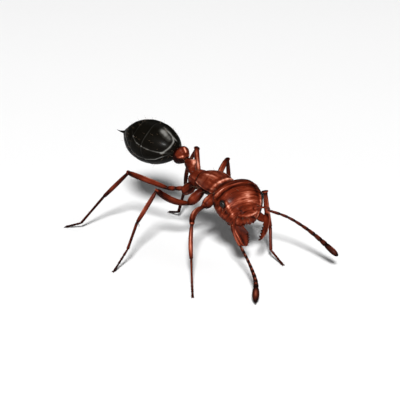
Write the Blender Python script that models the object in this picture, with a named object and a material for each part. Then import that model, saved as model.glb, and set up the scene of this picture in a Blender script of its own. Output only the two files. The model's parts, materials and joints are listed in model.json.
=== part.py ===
"""Fire ant: a major worker, standing, as a still model at life size.

Frame: metres, +Z up. The ant looks along +X and its left side is +Y. The origin is on the floor,
under the middle of the whole model. Shapes are worked out in millimetres and scaled at the end.

The ant is modelled whole, in four runs of lofted or turned forms, and then parted by thin cuts:
head with eyes, mandibles and antennae; mesosoma; petiole, postpetiole and gaster with its sting;
and six legs of coxa, femur, tibia and tarsus. Legs and antennae are kept close to half a
millimetre thick, so that they can be made and handled. The live animal's are thinner.
"""
import math

import bmesh
import bpy
from mathutils import Matrix, Vector

MM = 0.001
GAP = 0.02                      # width of the cuts between one piece and the next, mm
CLEARANCE = 0.04                # how much larger a form is when it cuts its neighbour, mm
WELD = 1e-5                     # points nearer than this are one point, mm
ORIGIN = Vector((-0.061, -0.455, 0.0))        # middle of the model's box on the floor, mm

# ---- driving sizes, mm ----
MESOSOMA_HEIGHT = 2.12          # middle of the mesosoma above the floor
HEAD_LENGTH = 1.32
HEAD_WIDTH = 1.48
HEAD_DEPTH = 0.90
GASTER_LENGTH = 2.06
GASTER_WIDTH = 1.36
GASTER_DEPTH = 1.27
GASTER_CUTS = (0.0, 0.40, 0.60, 0.80, 1.01)   # shares of its length where its plates meet
MESOSOMA_CUTS = {"pronotum": (0.93, 0.24), "mesothorax": (0.24, -0.26), "propodeum": (-0.26, -0.90)}
SCAPE_RADIUS = 0.22
SCAPE_FOOT_RADIUS = 0.15
FUNICULUS_RADIUS = 0.21
CLUB_RADIUS = 0.24
CLUB_LENGTH = 0.60
CLUB_CLEARANCE = 0.05           # the lowest part of a club above the floor
STING_LENGTH = 0.42
STING_ROOT = 0.05               # how deep the sting sits in the end of the gaster

# ---- segment lengths of a leg, mm ----
LEG_LENGTHS = {
    "fore": {"coxa": 0.60, "femur": 1.15, "tibia": 0.97, "metatarsus": 0.68, "toe": 0.56},
    "mid": {"coxa": 0.50, "femur": 1.25, "tibia": 1.05, "metatarsus": 0.80, "toe": 0.62},
    "hind": {"coxa": 0.50, "femur": 1.55, "tibia": 1.38, "metatarsus": 0.95, "toe": 0.62},
}
# Where each pair of coxae joins the mesosoma: forward of its middle, out from it, and below it
COXA_BASES = {"fore": (0.52, 0.24, -0.32), "mid": (0.02, 0.25, -0.34), "hind": (-0.48, 0.22, -0.30)}
# Stance: for each segment, its heading (degrees out from straight ahead) and its slope (up is +).
# The toe's slope isn't stated: it is the one that brings its tip down to the floor.
STANCE = {
    "fore_right": {
        "coxa": (79, -20), "femur": (47, -2), "tibia": (38, -66), "metatarsus": (33, -45), "toe": 34,
    },
    "mid_right": {
        "coxa": (118, -36), "femur": (91, 29), "tibia": (93, -55), "metatarsus": (91, -65), "toe": 90,
    },
    "hind_right": {
        "coxa": (158, -19), "femur": (150, 12), "tibia": (159, -43), "metatarsus": (151, -51), "toe": 144,
    },
    "fore_left": {
        "coxa": (99, -79), "femur": (51, 34), "tibia": (16, -81), "metatarsus": (-21, -61), "toe": -5,
    },
    "mid_left": {
        "coxa": (120, -44), "femur": (133, 44), "tibia": (109, -75), "metatarsus": (100, -68), "toe": 148,
    },
    "hind_left": {
        "coxa": (149, -21), "femur": (155, 29), "tibia": (179, -71), "metatarsus": (179, -68), "toe": 176,
    },
}
COXA_RADII = (0.20, 0.23, 0.20)
FEMUR_RADII = (0.21, 0.25, 0.22)
TIBIA_RADII = (0.22, 0.24, 0.22)
TARSUS_RADIUS = 0.21
TOE_TIP_RADIUS = 0.15
TOE_TIP_HEIGHT = 0.04           # the axis of the toe's end above the floor
STING_RADII = (0.10, 0.05, 0.015)      # at its root, 0.4 of the way along, and at its point

# ---- colours ----
RED = (0.24, 0.045, 0.018)
BROWN = (0.12, 0.022, 0.010)
BLACK = (0.012, 0.010, 0.008)
FINISHES = {"red": (RED, 0.30), "brown": (BROWN, 0.35), "black": (BLACK, 0.22), "eye": (BLACK, 0.15)}


# ---- small tools ----
def direction(heading, slope, side=1):
    """Unit vector that far out from straight ahead (to the left for side 1) and that far up."""
    heading, slope = math.radians(heading), math.radians(slope)
    level = math.cos(slope)
    return Vector((level * math.cos(heading), side * level * math.sin(heading), math.sin(slope)))


def local_frame(origin, forward, roll=0.0):
    """Matrix of a frame at origin whose X runs forward and whose Y is level to the left, then rolled."""
    forward = forward.normalized()
    left = Vector((0, 0, 1)).cross(forward).normalized()
    up = forward.cross(left)
    turn = Matrix((forward, left, up)).transposed().to_4x4()
    return Matrix.Translation(origin) @ turn @ Matrix.Rotation(math.radians(roll), 4, "X")


def smooth_through(values, at):
    """Catmull-Rom value at a fractional index of a list of tuples."""
    last = len(values) - 1
    index = min(int(at), last - 1)
    t = at - index
    before, start, end, after = (values[max(0, min(last, index + k))] for k in (-1, 0, 1, 2))
    mixed = []
    for a, b, c, d in zip(before, start, end, after):
        square, cube = 2 * a - 5 * b + 4 * c - d, 3 * b - a - 3 * c + d
        mixed.append(0.5 * (2 * b + (c - a) * t + square * t**2 + cube * t**3))
    return mixed


def make_object(name, mesh):
    piece = bpy.data.objects.new(name, mesh)
    bpy.context.scene.collection.objects.link(piece)
    return piece


def bmesh_object(name, shape):
    bmesh.ops.recalc_face_normals(shape, faces=shape.faces)
    if shape.calc_volume(signed=True) < 0:
        bmesh.ops.reverse_faces(shape, faces=shape.faces)
    mesh = bpy.data.meshes.new(name)
    shape.to_mesh(mesh)
    shape.free()
    return make_object(name, mesh)


def baked(piece):
    """A mesh of what the object's curve or modifiers make, with coinciding points welded."""
    bpy.context.view_layer.update()
    evaluated = piece.evaluated_get(bpy.context.evaluated_depsgraph_get())
    mesh = bpy.data.meshes.new_from_object(evaluated)
    shape = bmesh.new()
    shape.from_mesh(mesh)
    bmesh.ops.remove_doubles(shape, verts=shape.verts, dist=WELD)
    shape.to_mesh(mesh)
    shape.free()
    return mesh


def discard(piece):
    data = piece.data
    bpy.data.objects.remove(piece)
    if data.users == 0:
        (bpy.data.curves if isinstance(data, bpy.types.Curve) else bpy.data.meshes).remove(data)


def carve(piece, cutter, operation="DIFFERENCE"):
    """Take the cutter out of the piece, or join or keep what they share."""
    boolean = piece.modifiers.new("Carve", "BOOLEAN")
    boolean.operation = operation
    boolean.solver = "EXACT"
    boolean.object = cutter
    mesh = baked(piece)
    piece.modifiers.clear()
    old = piece.data
    piece.data = mesh
    bpy.data.meshes.remove(old)


def half_space(at, outward, clearance=GAP / 2, reach=4.0):
    """A big block that starts just inside the plane at a point and covers all beyond it."""
    shape = bmesh.new()
    bmesh.ops.create_cube(shape, size=2 * reach)
    turn = outward.to_track_quat("Z", "Y").to_matrix().to_4x4()
    shape.transform(Matrix.Translation(at - outward * clearance) @ turn @ Matrix.Translation((0, 0, reach)))
    return bmesh_object("cutter", shape)


def trim(piece, at, outward, clearance=GAP / 2):
    cutter = half_space(at, outward.normalized(), clearance)
    carve(piece, cutter)
    discard(cutter)


def copy_of(name, piece):
    return make_object(name, piece.data.copy())


# ---- forms ----
def loft(name, frame, stations, sides=20, steps=2, grow=0.0, shape_point=None):
    """A closed form through oval stations (along, half width, top, bottom) of the frame's X axis.

    grow makes it larger all round, for use as a cutter; shape_point may move each point.
    """
    shape = bmesh.new()
    rings = []
    last = (len(stations) - 1) * steps
    middle_station = (stations[0][0] + stations[-1][0]) / 2
    for index in range(last + 1):
        along, half_width, top, bottom = smooth_through(stations, index / steps)
        if index in (0, last):
            along += math.copysign(grow, along - middle_station)
        middle, half_height = (top + bottom) / 2, (top - bottom) / 2
        ring = []
        for side in range(sides):
            angle = 2 * math.pi * side / sides
            across, above = (half_width + grow) * math.sin(angle), (half_height + grow) * math.cos(angle)
            point = Vector((along, across, middle + above))
            if shape_point:
                point = shape_point(point)
            ring.append(shape.verts.new(frame @ point))
        rings.append(ring)
    for first, second in zip(rings, rings[1:]):
        for side in range(sides):
            following = (side + 1) % sides
            shape.faces.new((first[side], first[following], second[following], second[side]))
    shape.faces.new(rings[0])
    shape.faces.new(rings[-1])
    return bmesh_object(name, shape)


def tube(name, path, radii):
    """A round bar along the path, with a radius at each point."""
    curve = bpy.data.curves.new(name, "CURVE")
    curve.dimensions = "3D"
    curve.bevel_depth = 1.0
    curve.bevel_resolution = 2
    curve.use_fill_caps = True
    spline = curve.splines.new("POLY")
    spline.points.add(len(path) - 1)
    for point, place, radius in zip(spline.points, path, radii):
        point.co = (*place, 1.0)
        point.radius = radius
    guide = make_object(name, curve)
    mesh = baked(guide)
    discard(guide)
    return make_object(name, mesh)


def rounded_bar(name, start, end, radii, blunt_end=False):
    """A bar from start to end, thickest in its middle, with a half ball beyond each end."""
    axis = (end - start).normalized()
    first, middle, last = radii
    path, sizes = [], []
    for angle in (65, 35):
        path.append(start - axis * first * math.sin(math.radians(angle)))
        sizes.append(first * math.cos(math.radians(angle)))
    for t in (0.0, 0.3, 0.65, 1.0):
        path.append(start.lerp(end, t))
        sizes.append(first + (middle - first) * 2 * t if t < 0.5 else middle + (last - middle) * (2 * t - 1))
    if not blunt_end:
        for angle in (35, 65):
            path.append(end + axis * last * math.sin(math.radians(angle)))
            sizes.append(last * math.cos(math.radians(angle)))
    return tube(name, path, sizes)


def ball(name, frame, radii, rings=10, segments=16):
    """An ellipsoid with its poles on the frame's X axis."""
    shape = bmesh.new()
    bmesh.ops.create_uvsphere(shape, u_segments=segments, v_segments=rings, radius=1.0)
    shape.transform(frame @ Matrix.Diagonal((*radii, 1.0)) @ Matrix.Rotation(math.pi / 2, 4, "Y"))
    return bmesh_object(name, shape)


# ---- body axes ----
MESOSOMA = Matrix.Translation((0, 0, MESOSOMA_HEIGHT))
HEAD = local_frame(Vector((1.385, -0.06, 1.86)), direction(-4, -58), roll=4)
PETIOLE_FRONT = Vector((-0.72, 0.0, 2.07))
PETIOLE_LENGTH = 0.56
PETIOLE = local_frame(PETIOLE_FRONT, direction(0, -46))
POSTPETIOLE_FRONT = PETIOLE @ Vector((-PETIOLE_LENGTH, 0, 0))
POSTPETIOLE_LENGTH = 0.46
POSTPETIOLE = local_frame(POSTPETIOLE_FRONT, direction(0, -17))
GASTER_FRONT = POSTPETIOLE @ Vector((-POSTPETIOLE_LENGTH, 0, 0))
GASTER = local_frame(GASTER_FRONT, direction(10, -3))

# Stations: (along the axis, half width, top, bottom), mm
MESOSOMA_STATIONS = [
    (0.93, 0.10, 0.12, -0.08),
    (0.86, 0.15, 0.17, -0.13),
    (0.74, 0.30, 0.25, -0.23),
    (0.54, 0.39, 0.315, -0.33),
    (0.30, 0.41, 0.335, -0.39),
    (0.05, 0.37, 0.30, -0.415),
    (-0.16, 0.32, 0.24, -0.415),
    (-0.26, 0.295, 0.195, -0.41),
    (-0.37, 0.295, 0.20, -0.40),
    (-0.55, 0.275, 0.175, -0.37),
    (-0.70, 0.235, 0.09, -0.31),
    (-0.80, 0.17, -0.01, -0.25),
    (-0.85, 0.09, -0.07, -0.19),
]
PETIOLE_STATIONS = [
    (0.00, 0.09, 0.08, -0.08),
    (-0.12, 0.10, 0.10, -0.10),
    (-0.23, 0.14, 0.22, -0.11),
    (-0.31, 0.17, 0.30, -0.11),
    (-0.39, 0.16, 0.26, -0.11),
    (-0.47, 0.11, 0.12, -0.10),
    (-0.56, 0.09, 0.07, -0.08),
]
POSTPETIOLE_STATIONS = [
    (0.00, 0.09, 0.07, -0.08),
    (-0.08, 0.15, 0.17, -0.19),
    (-0.19, 0.23, 0.26, -0.29),
    (-0.30, 0.245, 0.23, -0.335),
    (-0.39, 0.19, 0.14, -0.28),
    (-0.46, 0.11, 0.08, -0.14),
]
# Share of the gaster's half width at each share of its length
GASTER_SWELL = [
    (0.00, 0.14), (0.03, 0.33), (0.09, 0.54), (0.19, 0.75), (0.34, 0.94), (0.50, 1.00),
    (0.66, 0.93), (0.80, 0.73), (0.91, 0.46), (0.97, 0.23), (1.00, 0.07),
]
# Shares of the head's half width and of its half depth, at each share of its length
HEAD_SWELL = [
    (-0.50, 0.20, 0.18), (-0.47, 0.43, 0.41), (-0.39, 0.70, 0.67), (-0.24, 0.91, 0.89), (-0.06, 1.00, 1.00),
    (0.11, 0.95, 0.98), (0.25, 0.83, 0.88), (0.35, 0.70, 0.76), (0.42, 0.56, 0.60), (0.455, 0.40, 0.40),
    (0.465, 0.25, 0.22),
]
OCCIPUT_NOTCH = 0.045           # how far the middle of the head's hind edge is drawn in
FACE_BULGE, CHIN_BULGE = 1.03, 0.97     # shares of the half depth in front and behind


def head_stations():
    stations = []
    for along, wide, deep in HEAD_SWELL:
        half_width, half_depth = HEAD_WIDTH / 2 * wide, HEAD_DEPTH / 2 * deep
        stations.append((HEAD_LENGTH * along, half_width, half_depth * FACE_BULGE, -half_depth * CHIN_BULGE))
    return stations


def gaster_stations():
    stations = []
    for along, swell in GASTER_SWELL:
        half_width, half_depth = GASTER_WIDTH / 2 * swell, GASTER_DEPTH / 2 * swell
        stations.append((-GASTER_LENGTH * along, half_width, half_depth, -half_depth))
    return stations


def notch_occiput(point):
    """Draw in the middle of the hind edge of the head, so that it has two rounded corners."""
    backward = max(0.0, -point.x / HEAD_LENGTH - 0.30) / 0.20
    drawn_in = OCCIPUT_NOTCH * backward * math.exp(-((point.y / (0.30 * HEAD_WIDTH)) ** 2))
    return point + Vector((drawn_in, 0, 0))


def head_form(name, grow=0.0):
    return loft(name, HEAD, head_stations(), sides=24, grow=grow, shape_point=notch_occiput)


def mesosoma_form(name, grow=0.0):
    return loft(name, MESOSOMA, MESOSOMA_STATIONS, sides=20, grow=grow)


# ---- head ----
EYE_PLACE = (0.01, 0.60, 0.25)
EYE_RADII = (0.105, 0.06, 0.078)
MANDIBLE_PLACE = {"right": (0.50, 0.37, -0.12), "left": (0.60, 0.76, -0.04)}
MANDIBLE_ROOF = 40              # how far each blade slopes down and out, degrees
MANDIBLE_OPENING = {"right": -2, "left": -19}     # degrees out from straight ahead
MANDIBLE_THICKNESS = 0.16
# Outline of a blade and its root: (forward from its hinge, inward from its outer edge), mm
MANDIBLE_OUTLINE = [
    (-0.04, 0.00), (0.12, -0.03), (0.30, -0.03), (0.48, 0.01), (0.62, 0.09), (0.70, 0.18), (0.74, 0.29),
    (0.65, 0.26), (0.65, 0.36), (0.58, 0.32), (0.56, 0.41), (0.49, 0.36), (0.45, 0.43), (0.38, 0.38),
    (0.22, 0.33), (0.06, 0.30), (-0.08, 0.38), (-0.22, 0.44), (-0.28, 0.30), (-0.16, 0.12),
]
MANDIBLE_THINNING = 0.5         # share of its thickness that a blade loses by its tip
EYE_LEAN = 38                   # degrees that an eye looks up from straight out


def eye_frame(side):
    """Frame of an eye: X along the head, Y out of it, a little upwards."""
    along, out, up = EYE_PLACE
    lean = Matrix.Rotation(math.radians(side * EYE_LEAN), 4, "X")
    return HEAD @ Matrix.Translation((along, side * out, up)) @ lean


def eye(name, side, grow=0.0):
    return ball(name, eye_frame(side), [radius + grow for radius in EYE_RADII])


def outset(outline, grow):
    """The outline with each corner moved out, square to the edges that meet there."""
    corners = [Vector(corner) for corner in outline]
    moved = []
    for before, corner, after in zip(corners[-1:] + corners[:-1], corners, corners[1:] + corners[:1]):
        along = (after - corner).normalized() + (corner - before).normalized()
        moved.append(corner + grow * Vector((along.y, -along.x)).normalized())
    return moved


def mandible(name, side_name, side, grow=0.0):
    """A toothed blade: a flat outline, thinned towards its tip and set like one side of a roof."""
    curve = bpy.data.curves.new(name, "CURVE")
    curve.dimensions = "2D"
    curve.fill_mode = "BOTH"
    curve.extrude = MANDIBLE_THICKNESS / 2 + grow
    spline = curve.splines.new("POLY")
    spline.points.add(len(MANDIBLE_OUTLINE) - 1)
    for point, (forward, inward) in zip(spline.points, outset(MANDIBLE_OUTLINE, grow)):
        point.co = (forward, -side * inward, 0.0, 1.0)
    spline.use_cyclic_u = True
    guide = make_object(name, curve)
    mesh = baked(guide)
    discard(guide)
    length = max(forward for forward, _ in MANDIBLE_OUTLINE)
    for vertex in mesh.vertices:
        vertex.co.z *= 1.0 - MANDIBLE_THINNING * max(0.0, vertex.co.x) / length
    along, out, up = MANDIBLE_PLACE[side_name]
    opening = math.radians(side * MANDIBLE_OPENING[side_name])
    place = Matrix.Translation((along, side * out, up)) @ Matrix.Rotation(opening, 4, "Z")
    mesh.transform(HEAD @ place @ Matrix.Rotation(math.radians(-side * MANDIBLE_ROOF), 4, "X"))
    return make_object(name, mesh)


# ---- antennae ----
SOCKET_PLACE = (0.34, 0.19, 0.40)
# From the elbow, along the funiculus, to the tip of the club
ANTENNA_PATHS = {
    "right": [
        (2.24, -0.62, 0.96), (2.80, -0.80, 0.72), (3.22, -1.00, 0.54),
        (3.55, -1.16, 0.41), (4.08, -1.50, 0.16),
    ],
    "left": [
        (1.54, 0.86, 1.45), (1.97, 1.16, 1.37), (2.40, 1.40, 1.17),
        (2.85, 1.55, 0.92), (3.40, 1.74, 0.55),
    ],
}
FUNICULUS_STEPS = 8             # straight runs that its curve is made of
CLUB_ROOT = 0.10                # how far the club's form starts before its foot
# Share of the club's radius at each share of its length
CLUB_SWELL = [(0.0, 0.9), (0.3, 1.0), (0.6, 0.97), (0.85, 0.7), (1.0, 0.35)]


def along_path(points, length_from_end):
    """The point on the path that far before its end, and the path's direction there."""
    last, before = points[-1], points[-2]
    axis = (last - before).normalized()
    return last - axis * length_from_end, axis


def antenna(side_name, side):
    """Scape, funiculus and club, parted across the elbow and at the foot of the club."""
    along, out, up = SOCKET_PLACE
    socket = HEAD @ Vector((along, side * out, up))
    points = [Vector(place) for place in ANTENNA_PATHS[side_name]]
    elbow = points[0]
    scape = rounded_bar(f"scape_{side_name}", socket, elbow, (SCAPE_FOOT_RADIUS, SCAPE_RADIUS, SCAPE_RADIUS))
    fold = ((points[1] - elbow).normalized() + (elbow - socket).normalized()).normalized()
    trim(scape, elbow, fold)
    club_foot, club_axis = along_path(points, CLUB_LENGTH)

    back = (elbow - points[1]).normalized()
    path = [elbow + back * FUNICULUS_RADIUS * math.sin(math.radians(angle)) for angle in (65, 35)]
    radii = [FUNICULUS_RADIUS * math.cos(math.radians(angle)) for angle in (65, 35)]
    for index in range(FUNICULUS_STEPS + 1):
        path.append(Vector(smooth_through(points, index * (len(points) - 1) / FUNICULUS_STEPS)))
        radii.append(FUNICULUS_RADIUS)
    funiculus = tube(f"funiculus_{side_name}", path, radii)
    trim(funiculus, elbow, -fold)
    trim(funiculus, club_foot, club_axis)

    tip = points[-1]
    club_path = [club_foot - club_axis * CLUB_ROOT]
    club_radii = [FUNICULUS_RADIUS]
    for share, swell in CLUB_SWELL:
        club_path.append(club_foot.lerp(tip, share))
        club_radii.append(CLUB_RADIUS * swell)
    club = tube(f"club_{side_name}", club_path, club_radii)
    trim(club, club_foot, -club_axis)
    trim(club, Vector((tip.x, tip.y, CLUB_CLEARANCE)), Vector((0, 0, -1)), 0.0)
    return [scape, funiculus, club]


# ---- legs ----
def leg_points(name):
    """The joints of a leg, from its root in the mesosoma to the tip of its toe."""
    pair, side_name = name.split("_")
    side = 1 if side_name == "left" else -1
    lengths, stance = LEG_LENGTHS[pair], STANCE[name]
    forward, out, up = COXA_BASES[pair]
    points = [MESOSOMA @ Vector((forward, side * out, up))]
    for segment in ("coxa", "femur", "tibia", "metatarsus"):
        points.append(points[-1] + direction(*stance[segment], side) * lengths[segment])
    drop = TOE_TIP_HEIGHT - points[-1].z
    slope = math.degrees(math.asin(max(-1.0, drop / lengths["toe"])))
    points.append(points[-1] + direction(stance["toe"], slope, side) * lengths["toe"])
    return points


def leg(name):
    """Coxa, femur, tibia and tarsus, parted across each joint where the two bars meet."""
    root, hip, knee, ankle, ball_joint, tip = leg_points(name)
    coxa = rounded_bar(f"coxa_{name}", root, hip, COXA_RADII)
    femur = rounded_bar(f"femur_{name}", hip, knee, FEMUR_RADII)
    tibia = rounded_bar(f"tibia_{name}", knee, ankle, TIBIA_RADII)
    back = (ankle - ball_joint).normalized()
    path = [ankle + back * TARSUS_RADIUS * math.sin(math.radians(angle)) for angle in (65, 35)]
    radii = [TARSUS_RADIUS * math.cos(math.radians(angle)) for angle in (65, 35)]
    path += [ankle, ankle.lerp(ball_joint, 0.8), ball_joint.lerp(tip, 0.25), tip]
    radii += [TARSUS_RADIUS, TARSUS_RADIUS, TARSUS_RADIUS, TOE_TIP_RADIUS]
    tarsus = tube(f"tarsus_{name}", path, radii)
    joints = [
        (coxa, femur, root, hip, knee),
        (femur, tibia, hip, knee, ankle),
        (tibia, tarsus, knee, ankle, ball_joint),
    ]
    for upper, lower, before, joint, after in joints:
        fold = ((after - joint).normalized() + (joint - before).normalized()).normalized()
        trim(upper, joint, fold)
        trim(lower, joint, -fold)
    trim(tarsus, Vector((tip.x, tip.y, 0)), Vector((0, 0, -1)), 0.0)
    return [coxa, femur, tibia, tarsus]


# ---- body ----
def slices(form, frame, cuts):
    """Pieces of a form between cuts square to the frame's X axis: {name: (front, back)}."""
    axis = frame.to_3x3() @ Vector((1, 0, 0))
    pieces = []
    for name, (front, back) in cuts.items():
        piece = copy_of(name, form)
        trim(piece, frame @ Vector((front, 0, 0)), axis)
        trim(piece, frame @ Vector((back, 0, 0)), -axis)
        pieces.append(piece)
    discard(form)
    return pieces


def finish(piece, look, collection):
    """Give the piece its own material, scale it to metres and place it round the model's origin."""
    colour, roughness = FINISHES[look]
    material = bpy.data.materials.new(piece.name)
    material.use_nodes = True
    shader = material.node_tree.nodes["Principled BSDF"]
    shader.inputs["Base Color"].default_value = (*colour, 1.0)
    shader.inputs["Roughness"].default_value = roughness
    shader.inputs["Metallic"].default_value = 0.0
    material.diffuse_color = (*colour, 1.0)
    piece.data.materials.clear()
    piece.data.materials.append(material)
    piece.data.transform(Matrix.Scale(MM, 4) @ Matrix.Translation(-ORIGIN))
    piece.data.shade_smooth()
    piece.data.set_sharp_from_angle(angle=math.radians(40))
    bpy.context.scene.collection.objects.unlink(piece)
    collection.objects.link(piece)


def build():
    for stale in list(bpy.data.objects):
        bpy.data.objects.remove(stale)
    pieces = {}

    # head, with a socket for each eye
    head = head_form("head")
    head_cutter = head_form("cutter_head", grow=CLEARANCE)
    pieces[head] = "red"
    for side_name, side in (("right", -1), ("left", 1)):
        socket = eye("cutter_eye", side, grow=GAP)
        carve(head, socket)
        discard(socket)
        pieces[eye(f"eye_{side_name}", side)] = "eye"
        blade = mandible(f"mandible_{side_name}", side_name, side)
        carve(blade, head_cutter)
        pieces[blade] = "red"
        scape, funiculus, club = antenna(side_name, side)
        blade_cutter = mandible("cutter_mandible", side_name, side, grow=CLEARANCE)
        carve(scape, head_cutter)
        carve(scape, blade_cutter)
        discard(blade_cutter)
        for part in (scape, funiculus, club):
            pieces[part] = "brown"

    # mesosoma, cut clear of the head at its neck
    mesosoma_cutter = mesosoma_form("cutter_mesosoma", grow=CLEARANCE)
    for piece in slices(mesosoma_form("mesosoma"), MESOSOMA, MESOSOMA_CUTS):
        if piece.name == "pronotum":
            carve(piece, head_cutter)
        pieces[piece] = "red"

    # waist and gaster
    petiole = loft("petiole", PETIOLE, PETIOLE_STATIONS, sides=16)
    carve(petiole, mesosoma_cutter)
    postpetiole = loft("postpetiole", POSTPETIOLE, POSTPETIOLE_STATIONS, sides=16)
    along_petiole = (POSTPETIOLE_FRONT - PETIOLE_FRONT).normalized()
    waist = along_petiole + (GASTER_FRONT - POSTPETIOLE_FRONT).normalized()
    trim(petiole, POSTPETIOLE_FRONT, waist)
    trim(postpetiole, POSTPETIOLE_FRONT, -waist)
    gaster_cutter = loft("cutter_gaster", GASTER, gaster_stations(), sides=24, grow=CLEARANCE)
    carve(postpetiole, gaster_cutter)
    pieces[petiole] = "red"
    pieces[postpetiole] = "red"
    bands = {
        f"gaster_{index + 1}": (-GASTER_LENGTH * front, -GASTER_LENGTH * back)
        for index, (front, back) in enumerate(zip(GASTER_CUTS, GASTER_CUTS[1:]))
    }
    for piece in slices(loft("gaster", GASTER, gaster_stations(), sides=24), GASTER, bands):
        pieces[piece] = "black"
    root, tip = (GASTER @ Vector((-GASTER_LENGTH + back, 0, 0)) for back in (STING_ROOT, -STING_LENGTH))
    sting = tube("sting", [root, root.lerp(tip, 0.4), tip], STING_RADII)
    carve(sting, gaster_cutter)
    pieces[sting] = "black"

    # legs, each coxa cut to sit against the mesosoma
    for name in STANCE:
        coxa, femur, tibia, tarsus = leg(name)
        carve(coxa, mesosoma_cutter)
        pieces.update({coxa: "red", femur: "red", tibia: "red", tarsus: "brown"})

    for cutter in (head_cutter, mesosoma_cutter, gaster_cutter):
        discard(cutter)
    collection = bpy.data.collections.new("Fire ant")
    bpy.context.scene.collection.children.link(collection)
    for piece, look in pieces.items():
        finish(piece, look, collection)


build()
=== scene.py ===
# %% [markdown]
# # A fire ant, as a museum model
# An ant wears its skeleton on the outside: a shell of hard plates, the cuticle, thin and glossy.
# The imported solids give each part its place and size, with legs and feelers thick enough to make.
# This lesson puts the real, much finer cuticle inside them: curved plates, beaded feelers, clawed
# feet, faceted eyes and a thin coat of bristles. Everything is worked out in millimetres, in the
# ant's own directions: X forward, Y to its left and Z up, with the middle of its chest over zero.

# %% The frame, and the tools this lesson uses
import json
import math

import bmesh
import bpy
import numpy as np
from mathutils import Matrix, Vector

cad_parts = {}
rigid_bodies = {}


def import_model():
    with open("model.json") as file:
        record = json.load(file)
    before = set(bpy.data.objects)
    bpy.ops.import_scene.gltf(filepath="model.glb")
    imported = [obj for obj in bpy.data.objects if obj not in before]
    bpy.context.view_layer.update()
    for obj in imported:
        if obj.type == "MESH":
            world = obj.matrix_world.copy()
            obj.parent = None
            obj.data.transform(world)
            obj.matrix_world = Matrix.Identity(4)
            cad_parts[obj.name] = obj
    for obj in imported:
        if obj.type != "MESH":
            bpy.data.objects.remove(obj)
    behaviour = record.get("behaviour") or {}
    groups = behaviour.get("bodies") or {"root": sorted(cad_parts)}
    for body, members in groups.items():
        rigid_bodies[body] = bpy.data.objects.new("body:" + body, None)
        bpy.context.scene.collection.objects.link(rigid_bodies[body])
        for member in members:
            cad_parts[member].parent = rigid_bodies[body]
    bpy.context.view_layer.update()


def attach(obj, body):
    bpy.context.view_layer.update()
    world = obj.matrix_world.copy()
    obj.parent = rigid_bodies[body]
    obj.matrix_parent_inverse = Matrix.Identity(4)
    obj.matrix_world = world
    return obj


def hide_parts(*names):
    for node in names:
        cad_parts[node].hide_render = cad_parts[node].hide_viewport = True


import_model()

MM = 0.001
MIDDLE = np.array([-0.061, -0.455, 0.0])    # middle of the model's box on the floor, mm

# %% [markdown]
# ## Small helpers for shapes
# Nearly every part of an insect is a tube that swells and narrows. So the shapes here are rings of
# points along a line, kept as numpy arrays, which makes it easy to push whole regions in and out.
# A Catmull-Rom curve runs smoothly through a few named stations and fills in the rings between.

# %% Directions and soft steps
def unit(vector):
    """The same direction, one long."""
    vector = np.asarray(vector, float)
    return vector / np.linalg.norm(vector)


def heading(out, up, side=1):
    """Direction that many degrees out from straight ahead (to the left for side 1) and up."""
    out, up = math.radians(out), math.radians(up)
    return np.array([math.cos(up) * math.cos(out), side * math.cos(up) * math.sin(out), math.sin(up)])


def rise(low, high, value):
    """0 below low, 1 above high, and a soft step between."""
    share = np.clip((np.asarray(value, float) - low) / (high - low), 0.0, 1.0)
    return share * share * (3 - 2 * share)


def hill(value, width):
    """A soft bump of height 1 round zero."""
    return np.exp(-((np.asarray(value, float) / width) ** 2))


def between(low, high, soft, value):
    """1 between low and high, 0 outside them, with a soft step that wide at each end."""
    return rise(low - soft / 2, low + soft / 2, value) * (1 - rise(high - soft / 2, high + soft / 2, value))


print("halfway up, a soft step is", rise(0, 1, 0.5), "and a soft bump", np.round(hill(0.5, 1), 2))


# %% Smooth curves, and places with their own directions
def smooth_through(values, at):
    """Rows of values read at fractional places, on a curve that passes through each row."""
    values, at = np.asarray(values, float), np.atleast_1d(np.asarray(at, float))
    last = len(values) - 1
    index = np.minimum(at.astype(int), last - 1)
    t = (at - index)[:, None]
    a, b, c, d = (values[np.clip(index + k, 0, last)] for k in (-1, 0, 1, 2))
    return 0.5 * (2 * b + (c - a) * t + (2 * a - 5 * b + 4 * c - d) * t**2 + (3 * b - a - 3 * c + d) * t**3)


def away_from(line, points):
    """Distance from each point to a smooth line through a few places."""
    fine = smooth_through(line, np.linspace(0, len(line) - 1, 12 * len(line)))
    return np.min([np.linalg.norm(points - spot, axis=-1) for spot in fine], axis=0)


class Axes:
    """A place with its own forward, left and up, for shapes that are easier to write there."""

    def __init__(self, origin, out, up, roll=0.0):
        forward = heading(out, up)
        left = unit(np.cross((0, 0, 1), forward))
        top = np.cross(forward, left)
        cos, sin = math.cos(math.radians(roll)), math.sin(math.radians(roll))
        self.turn = np.array([forward, cos * left + sin * top, cos * top - sin * left])
        self.origin = np.asarray(origin, float)

    def world(self, points):
        return np.asarray(points, float) @ self.turn + self.origin


def stack(*columns):
    """Points with those grids of numbers as their coordinates."""
    return np.stack(np.broadcast_arrays(*columns), -1)


print("a curve through 0, 1 and 0 passes", smooth_through([[0], [1], [0]], 0.5)[0, 0], "on its way up")


# %% Rings of points: lofts through stations, and limbs along a line
THINNEST = 0.002                            # mm, so that no ring shrinks to nothing


def loft(stations, sides, steps):
    """Rings through oval stations of (along, half width, top, bottom). Side 0 is on top."""
    at = np.linspace(0, len(stations) - 1, (len(stations) - 1) * steps + 1)
    along, wide, top, bottom = (column[:, None] for column in smooth_through(stations, at).T)
    angle = np.linspace(0, 2 * math.pi, sides, endpoint=False)
    return stack(along, wide * np.sin(angle), (top + bottom) / 2 + (top - bottom) / 2 * np.cos(angle))


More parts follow.
